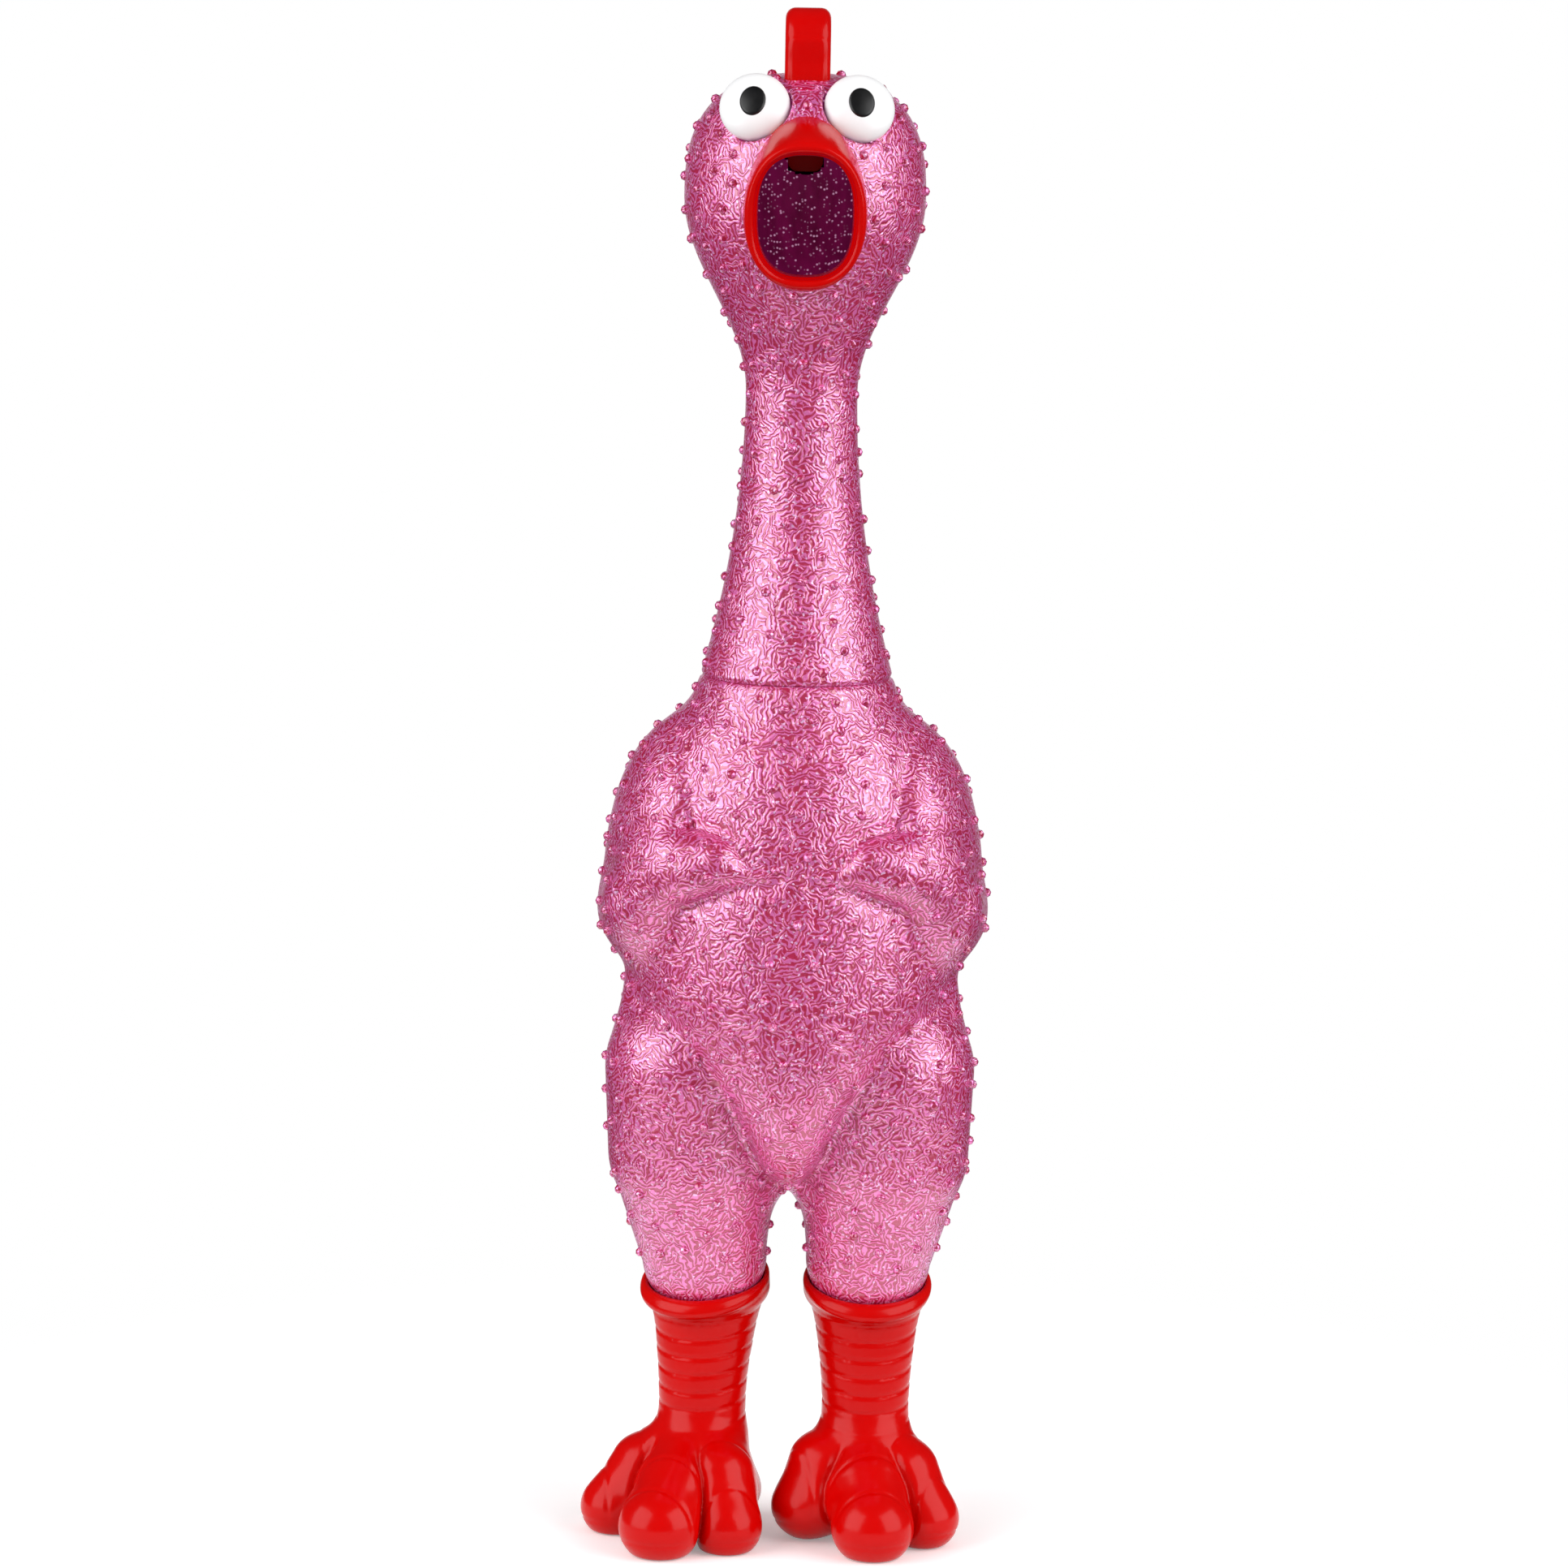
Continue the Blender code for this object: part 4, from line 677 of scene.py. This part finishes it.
def head_gap(x, y, z):
    """How far a point is outside the head's wall: the egg less its hollow, the mouth and a recess in
    the inner side of its back, with a well for each eye and a cut across the top of the neck."""
    outside = head_outside(x, y, z)
    for side in (1, -1):
        outside = -melt(-outside, socket_gap(x, y, z, side), SOCKET_EDGE)
    wall = np.maximum(outside, -(outside + HEAD_WALL))
    wall = np.maximum(wall, -np.maximum(recess_gap(x, y, z), outside + RECESS_WALL))
    wall = np.maximum(wall, -np.maximum(mouth_gap(x, z, MOUTH_PLAY), y - MOUTH_BACK))
    return np.maximum(wall, NECK_TOP - NECK_LAP - z)


# The inside of the same moulding, bare of grain, painted a deep magenta darker than the outer skin as
# painted shade, with flakes painted bright as glints. The thin wall lets some of the studio light soak
# through from outside, which the faint emission stands for as a painted glow.
LINING_FLAKE_SIZE, FOLD_SIZE, FOLD_STRETCH, FOLD_HEIGHT = 0.0008, 0.0035, (1.0, 1.0, 0.30), 0.0006
lining_shade_and_glow, place = new_look("deep_magenta_glitter_lining")
tall = add_node(lining_shade_and_glow, "Mapping", {"Vector": place, "Scale": FOLD_STRETCH}).outputs["Vector"]
fold = noise(lining_shade_and_glow, tall, FOLD_SIZE)
flake = add_node(lining_shade_and_glow, "TexVoronoi", {"Vector": place, "Scale": 1 / LINING_FLAKE_SIZE})
glint = add_node(lining_shade_and_glow, "SeparateColor", {"Color": flake.outputs["Color"]})
loose = ranged(lining_shade_and_glow, glint.outputs["Red"], start=0.64, end=0.80)
core = ranged(lining_shade_and_glow, flake.outputs["Distance"], start=0.46, end=0.20)
speck = figure(lining_shade_and_glow, "MULTIPLY", loose, core)
# Painted shade and glints: a darker magenta than the outer skin, with flakes painted near white.
inner = mixed(lining_shade_and_glow, speck, mixed(lining_shade_and_glow, fold, "#460424", "#961662"), "#FFC8F4")
# The emission is a painted glow standing for light soaking through the wall.
coat_with(lining_shade_and_glow, {
    "Base Color": inner, "Roughness": 0.35, "IOR": 1.52,
    "Normal": bumped(lining_shade_and_glow, fold, strength=0.4, distance=FOLD_HEIGHT),
    "Emission Color": inner, "Emission Strength": 0.34})
# Painted shade: the shallow recess is painted a near-black red, mottled at random, standing for the shade of
# a deep hollow.
SHADE_MOTTLE_SIZE = 0.003
hollow_painted_shade, place = new_look("unlit_red_hollow")
coat_with(hollow_painted_shade, {
    "Base Color": mixed(hollow_painted_shade, noise(hollow_painted_shade, place, SHADE_MOTTLE_SIZE), "#020001", "#080003"),
    "Roughness": 0.8, "Specular IOR Level": 0.1})

points, faces = skin_of(head_gap, HEAD_LOW, HEAD_HIGH, HEAD_CELL)
ups = slope_of(head_gap, points)
ups /= np.linalg.norm(ups, axis=1)[:, None]
x, y, z = points.T
under_comb = (np.abs(x) < COMB_BARE) & (z > HEAD_Z) & (y > COMB_BARE_FRONT)
between_eyes = (np.abs(x) < BROW_BARE) & (z > BROW_LOW) & (z < BROW_HIGH) & (y < 0)
clear = (np.abs(head_outside(x, y, z)) < ON_SKIN) & ~under_comb & ~between_eyes
clear &= (mouth_gap(x, z, MOUTH_BARE) > 0) & (z > NECK_TOP + BEAD_CLEAR)
for side in (1, -1):
    clear &= socket_gap(x, y, z, side) > BEAD_CLEAR
    clear &= ball_gap(x, y, z, eye_frame(side)[0], (EYE_RADIUS,) * 3) > BEAD_CLEAR
spots = np.flatnonzero(clear)
spots = spots[scatter(points[spots], BEAD_SPACING, 5)]
centres = points[faces].mean(1)
lined_face = head_outside(*centres.T) < -INNER_DEPTH
look_of_face = np.where(lined_face, 1, 0)
# Faces in the recess get the near-black painted shade.
look_of_face[lined_face & (recess_gap(*centres.T) < RECESS_RIM)] = 2
points, groups = add_beads(points, faces, points[spots], ups[spots])
bead_faces = sum(len(group) for group in groups) - len(faces)
look_of_face = np.pad(look_of_face, (0, bead_faces))
head_looks = [glitter_vinyl, lining_shade_and_glow, hollow_painted_shade]
head = put_piece("head_skin", points + BODY_AXIS, groups, head_looks, look_of_face)
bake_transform(head)
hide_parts("head_shell")

# Beak
# One red vinyl moulding round the open mouth: a hooded upper bill that runs up to a point between
# the eyes, a thick rolled lip and a spigot pushed through the head's wall.
BEAK_ROWS = np.array([
    # stop, top's depth, bottom's depth, half width, top, bottom, point, squareness
    (0.00, -0.0120, -0.0120, 0.0157, 0.0252, 0.0193, 0.06, 2.0),
    (0.12, -0.0215, -0.0215, 0.0157, 0.0252, 0.0193, 0.06, 2.0),
    (0.24, -0.0292, -0.0268, 0.0157, 0.0238, 0.0192, 0.06, 2.02),
    (0.36, -0.0362, -0.0312, 0.0155, 0.0217, 0.0190, 0.06, 2.10),
    (0.46, -0.0410, -0.0342, 0.0153, 0.0195, 0.0187, 0.06, 2.20),
    (0.53, -0.0427, -0.0356, 0.0148, 0.0181, 0.0181, 0.05, 2.30),
    (0.60, -0.0430, -0.0361, 0.0140, 0.0170, 0.0171, 0.04, 2.42),
    (0.66, -0.0424, -0.0356, 0.0131, 0.0161, 0.0161, 0.03, 2.55),
    (0.70, -0.0412, -0.0346, 0.0127, 0.0157, 0.0157, 0.02, 2.60),
    (0.74, -0.0403, -0.0338, 0.0122, 0.0153, 0.0153, 0.01, 2.60),
    (0.80, -0.0370, -0.0310, 0.0121, 0.0152, 0.0152, 0.00, 2.60),
    (0.90, -0.0245, -0.0245, 0.0121, 0.0152, 0.0152, 0.00, 2.60),
    (0.95, -0.0240, -0.0240, 0.0130, 0.0161, 0.0161, 0.00, 2.60),
    (1.00, -0.0200, -0.0200, 0.0138, 0.0170, 0.0168, 0.00, 2.50),
])
LIP_START, LIP_END, BEAK_ROUND = 0.46, 0.80, 120
stops = np.concatenate([np.linspace(0.0, LIP_START, 22)[:-1], np.linspace(LIP_START, LIP_END, 34)[:-1],
                        np.linspace(LIP_END, 1.0, 8)])
y_top, y_low, half, top, low, point, square = read_rows(BEAK_ROWS, stops).T[:, :, None]
lon = np.arange(BEAK_ROUND) * math.tau / BEAK_ROUND
across, upward = np.sin(lon)[None], np.cos(lon)[None]
fit = (np.abs(across) ** square + np.abs(upward) ** square) ** (-1 / square)
beak_x = half * across * fit * (1 - point * np.maximum(upward, 0.0) ** 2)
beak_z = np.where(upward > 0, top, low) * upward * fit
beak_y = y_low + (y_top - y_low) * (beak_z + low) / (top + low)
points = np.stack([beak_x, beak_y, MOUTH_Z + beak_z], -1).reshape(-1, 3)
faces = ring_faces(len(stops), BEAK_ROUND).reshape(-1, 4)
beak = put_piece("beak_skin", points + BODY_AXIS, [faces], [red_vinyl])
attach(beak, "head")
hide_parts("beak")

# Comb
# A thick red vinyl blade of five lobes, bonded along the head: it runs from the brow over the crown
# to the back of the head, square across the front with rounded edges.
COMB_HALF, COMB_ROUND, COMB_TOP, COMB_SUNK = 0.0058, 0.0026, 0.0480, 0.0016
LOBES, LOBE_RADIUS, LOBE_STEP, LOBE_FALL, LOBE_FLOW = 5, 0.0085, 0.0130, 0.0016, 0.0022
FIRST_LOBE_ANGLE, FAN_BEFORE, FAN_AFTER, FAN_STEEPNESS = math.radians(8.0), 0.10, 0.12, 0.030
POST_BACK = 0.0040
VALLEY_WIDTH, VALLEY_DEPTH, VALLEY_START, VALLEY_FADE = 0.0016, 0.0011, 0.0375, 0.0015
COMB_LOW, COMB_HIGH, COMB_CELL = (-0.0085, -0.0215, 0.3450), (0.0085, 0.0500, 0.4020), 0.00075
lobes = []
lobe_angle, lobe_reach = -FIRST_LOBE_ANGLE, (COMB_TOP - LOBE_RADIUS) / math.cos(FIRST_LOBE_ANGLE)
for _ in range(LOBES):
    lobes.append((lobe_angle, lobe_reach))
    lobe_angle += 2 * math.asin(LOBE_STEP / 2 / lobe_reach)
    lobe_reach -= LOBE_FALL


def comb_gap(x, y, z):
    """How far a point is outside the comb: circles round the head's middle melted to a fan, given a
    thickness with rounded edges that thins along the valleys between the lobes."""
    up = z - HEAD_Z
    angle, reach = np.arctan2(y, up), np.hypot(y, up)
    fan = reach - np.interp(angle, [a for a, _ in lobes], [r for _, r in lobes])
    first, last = lobes[0][0] - FAN_BEFORE, lobes[-1][0] + FAN_AFTER
    fan = np.maximum(fan, np.maximum(first - angle, angle - last) * FAN_STEEPNESS)
    front = lobes[0][1] * math.sin(lobes[0][0]) - LOBE_RADIUS
    post = np.maximum(np.maximum(front - y, y - POST_BACK), up - lobes[0][1] * math.cos(lobes[0][0]))
    outline = np.minimum(fan, post)
    for a, r in lobes:
        lobe = np.hypot(y - r * math.sin(a), up - r * math.cos(a)) - LOBE_RADIUS
        outline = melt(outline, lobe, LOBE_FLOW)
    valleys = 0.0
    for (a, r), (b, _) in zip(lobes, lobes[1:]):
        valleys = valleys + bell((angle - (a + b) / 2) * r, VALLEY_WIDTH)
    half = COMB_HALF - VALLEY_DEPTH * valleys * soft_step(reach - VALLEY_START, VALLEY_FADE)
    edge, face = outline + COMB_ROUND, np.abs(x) - half + COMB_ROUND
    out = np.hypot(np.maximum(edge, 0.0), np.maximum(face, 0.0))
    blade = out + np.minimum(np.maximum(edge, face), 0.0) - COMB_ROUND
    return np.maximum(blade, -(head_outside(x, y, z) + COMB_SUNK))


points, faces = skin_of(comb_gap, COMB_LOW, COMB_HIGH, COMB_CELL)
comb = put_piece("comb_skin", points + BODY_AXIS, [faces], [red_vinyl])
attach(comb, "head")
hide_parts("comb")

# Eyes
# Two shallow domes of white ABS pressed into sockets under the brow, smooth and half gloss, with a
# low oval pupil of black ABS set in the front of each.
EYE_ROOT_ROWS = (
    # share of the radius, height
    (0.0, -EYE_ROOT), (0.55, -EYE_ROOT), (0.78, -0.0070), (0.96, -0.0030), (1.0, -0.0008),
)
PUPIL_HALF_WIDTH, PUPIL_HALF_HEIGHT, PUPIL_PROUD, PUPIL_SUNK = 0.0034, 0.0040, 0.0004, 0.0014
PUPIL_EDGE, EYE_ROUND, PUPIL_ROUND = 0.14, 72, 48
# Injection-moulded ABS: an even cool white that only its gloss and a breath of grey break up, and the
# same plastic in black, with a softer gloss from handling.
abs_looks = {}
for name, mist_size, one, other, smooth, rough in (("white_abs", 0.006, "#ECECEE", "#F4F4F4", 0.26, 0.36),
                                                   ("black_abs", 0.002, "#060608", "#0E0E10", 0.30, 0.44)):
    look, place = new_look(name)
    mist = noise(look, place, mist_size)
    coat_with(look, {"Base Color": mixed(look, mist, one, other),
                     "Roughness": ranged(look, mist, low=smooth, high=rough), "IOR": 1.54})
    abs_looks[name] = look

for side, name in ((1, "left"), (-1, "right")):
    middle, axes = eye_frame(side)
    lat = np.linspace(0.0, math.pi / 2, 24)
    dome = np.concatenate([EYE_ROOT_ROWS, np.stack([np.cos(lat), EYE_DOME * np.sin(lat)], 1)])
    points, quads, fans = spun_cap(dome, EYE_RADIUS, EYE_RADIUS, EYE_ROUND)
    points = points @ axes + middle + BODY_AXIS
    eye = put_piece(name + "_eye_dome", points, [quads, fans], [abs_looks["white_abs"]])
    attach(eye, "head")
    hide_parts(name + "_eye")
    share = np.concatenate([(0.0, 0.6, 1.0), np.linspace(1.0, 0.0, 14)])
    on_eye = EYE_DOME * np.sqrt(1 - np.minimum(share * PUPIL_HALF_HEIGHT / EYE_RADIUS, 1.0) ** 2)
    height = on_eye + PUPIL_PROUD * (1 - np.clip((share - 1 + PUPIL_EDGE) / PUPIL_EDGE, 0, 1) ** 2)
    height[:3] = on_eye[2] - PUPIL_SUNK
    disc = np.stack([share, height], 1)
    points, quads, fans = spun_cap(disc, PUPIL_HALF_WIDTH, PUPIL_HALF_HEIGHT, PUPIL_ROUND)
    points = points @ axes + middle + BODY_AXIS
    pupil = put_piece(name + "_pupil_disc", points, [quads, fans], [abs_looks["black_abs"]])
    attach(pupil, "head")
    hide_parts(name + "_pupil")

# Studio
# A white sweep under two large softboxes, one to each side in front, and the camera a little above
# the middle of the chicken, looking slightly down on it from 1.4 m away.
SWEEP_HALF, SHADOW_REACH, SHADOW_END, FIBRE_SIZE = 0.5, 0.13, 0.30, 0.02
GLOW_START, GLOW_END, GLOW_NEAR, GLOW_FAR = 0.15, 0.50, 0.26, 0.50
LAMP_ANGLES, LAMP_RISE, LAMP_AWAY, LAMP_AIM = (-61.0, 61.0), math.radians(22.0), 1.55, (0.0, 0.0, 0.20)
LAMP_WIDTH, LAMP_HEIGHT, LAMP_WATTS, FILL_STRENGTH = 1.50, 1.60, 22.5, 0.46
CAMERA_PLACE, CAMERA_DIP, CAMERA_ROLL = (-0.00420, -1.40, 0.40), 8.135, -1.0
CAMERA_LENS, CAMERA_SENSOR = 124.8, 36.0
# White paper that keeps the contact shadow near the boots and melts into the white room further out.
white_sweep, place = new_look("white_paper_sweep")
paper = mixed(white_sweep, noise(white_sweep, place, FIBRE_SIZE, detail=3.0), "#F4F4F4", "#FAFAFA")
matt = add_node(white_sweep, "BsdfDiffuse", {"Color": paper})
away = add_node(white_sweep, "VectorMath", {0: place}, operation="LENGTH").outputs["Value"]
lit = ranged(white_sweep, away, GLOW_START, GLOW_END, GLOW_NEAR, GLOW_FAR)
glow = add_node(white_sweep, "Emission", {"Color": linear("#FFFFFF"), "Strength": lit})
nothing = add_node(white_sweep, "Emission", {"Color": linear("#000000"), "Strength": 0.0})
ray = add_node(white_sweep, "LightPath")
seen = figure(white_sweep, "MAXIMUM", ray.outputs["Is Camera Ray"], ray.outputs["Is Glossy Ray"])
seen = figure(white_sweep, "MAXIMUM", seen, ray.outputs["Is Transmission Ray"])
lift = add_node(white_sweep, "MixShader", {
    0: seen, 1: nothing.outputs["Emission"], 2: glow.outputs["Emission"]})
both = add_node(white_sweep, "AddShader", {0: matt.outputs["BSDF"], 1: lift.outputs["Shader"]})
open_air = add_node(white_sweep, "BsdfTransparent")
fade = ranged(white_sweep, away, SHADOW_REACH, SHADOW_END, interpolation_type="SMOOTHSTEP")
sweep = add_node(white_sweep, "MixShader", {0: fade, 1: both.outputs["Shader"], 2: open_air.outputs["BSDF"]})
add_node(white_sweep, "OutputMaterial", {"Surface": sweep.outputs["Shader"]})
corners = SWEEP_HALF * np.array(((-1.0, -1.0, 0.0), (1.0, -1.0, 0.0), (1.0, 1.0, 0.0), (-1.0, 1.0, 0.0)))
floor = put_piece("studio_floor", corners, [np.array([[0, 1, 2, 3]])], [white_sweep])

# A white room: an even fill for matt surfaces, plain white for the camera, and for reflections a dark
# room with only the wall behind the chicken bright.
world = bpy.data.worlds.new("white_studio")
bpy.context.scene.world = world
world.use_nodes = True
world.node_tree.nodes.clear()
sight = add_node(world, "TexCoord")
split = add_node(world, "SeparateXYZ", {"Vector": sight.outputs["Generated"]})
behind = ranged(world, split.outputs["Y"], start=0.90, end=0.995, low=0.03, high=1.0)
fill, room, plain = (
    add_node(world, "Background", {"Color": linear("#FFFFFF"), "Strength": strength}).outputs["Background"]
    for strength in (FILL_STRENGTH, behind, 1.0))
ray = add_node(world, "LightPath")
shiny = figure(world, "MAXIMUM", ray.outputs["Is Glossy Ray"], ray.outputs["Is Transmission Ray"])
pick = add_node(world, "MixShader", {0: shiny, 1: fill, 2: room}).outputs["Shader"]
pick = add_node(world, "MixShader", {0: ray.outputs["Is Camera Ray"], 1: pick, 2: plain}).outputs["Shader"]
add_node(world, "OutputWorld", {"Surface": pick})

for name, angle in zip(("softbox_left", "softbox_right"), LAMP_ANGLES):
    lamp = bpy.data.lights.new(name, "AREA")
    lamp.shape, lamp.size, lamp.size_y, lamp.energy = "RECTANGLE", LAMP_WIDTH, LAMP_HEIGHT, LAMP_WATTS
    held = bpy.data.objects.new(name, lamp)
    bpy.context.scene.collection.objects.link(held)
    flat = math.radians(angle)
    level = math.cos(LAMP_RISE)
    way = np.array((math.sin(flat) * level, -math.cos(flat) * level, math.sin(LAMP_RISE)))
    held.location = LAMP_AWAY * way + LAMP_AIM
    held.rotation_euler = (math.pi / 2 - LAMP_RISE, 0.0, flat)

camera = bpy.data.cameras.new("photo_camera")
camera.lens, camera.sensor_width, camera.sensor_fit = CAMERA_LENS, CAMERA_SENSOR, "HORIZONTAL"
held = bpy.data.objects.new("photo_camera", camera)
held.location = CAMERA_PLACE
held.rotation_euler = (math.radians(90.0 - CAMERA_DIP), math.radians(CAMERA_ROLL), 0.0)
bpy.context.scene.collection.objects.link(held)
bpy.context.scene.camera = held
bpy.context.scene.view_settings.view_transform = "Standard"
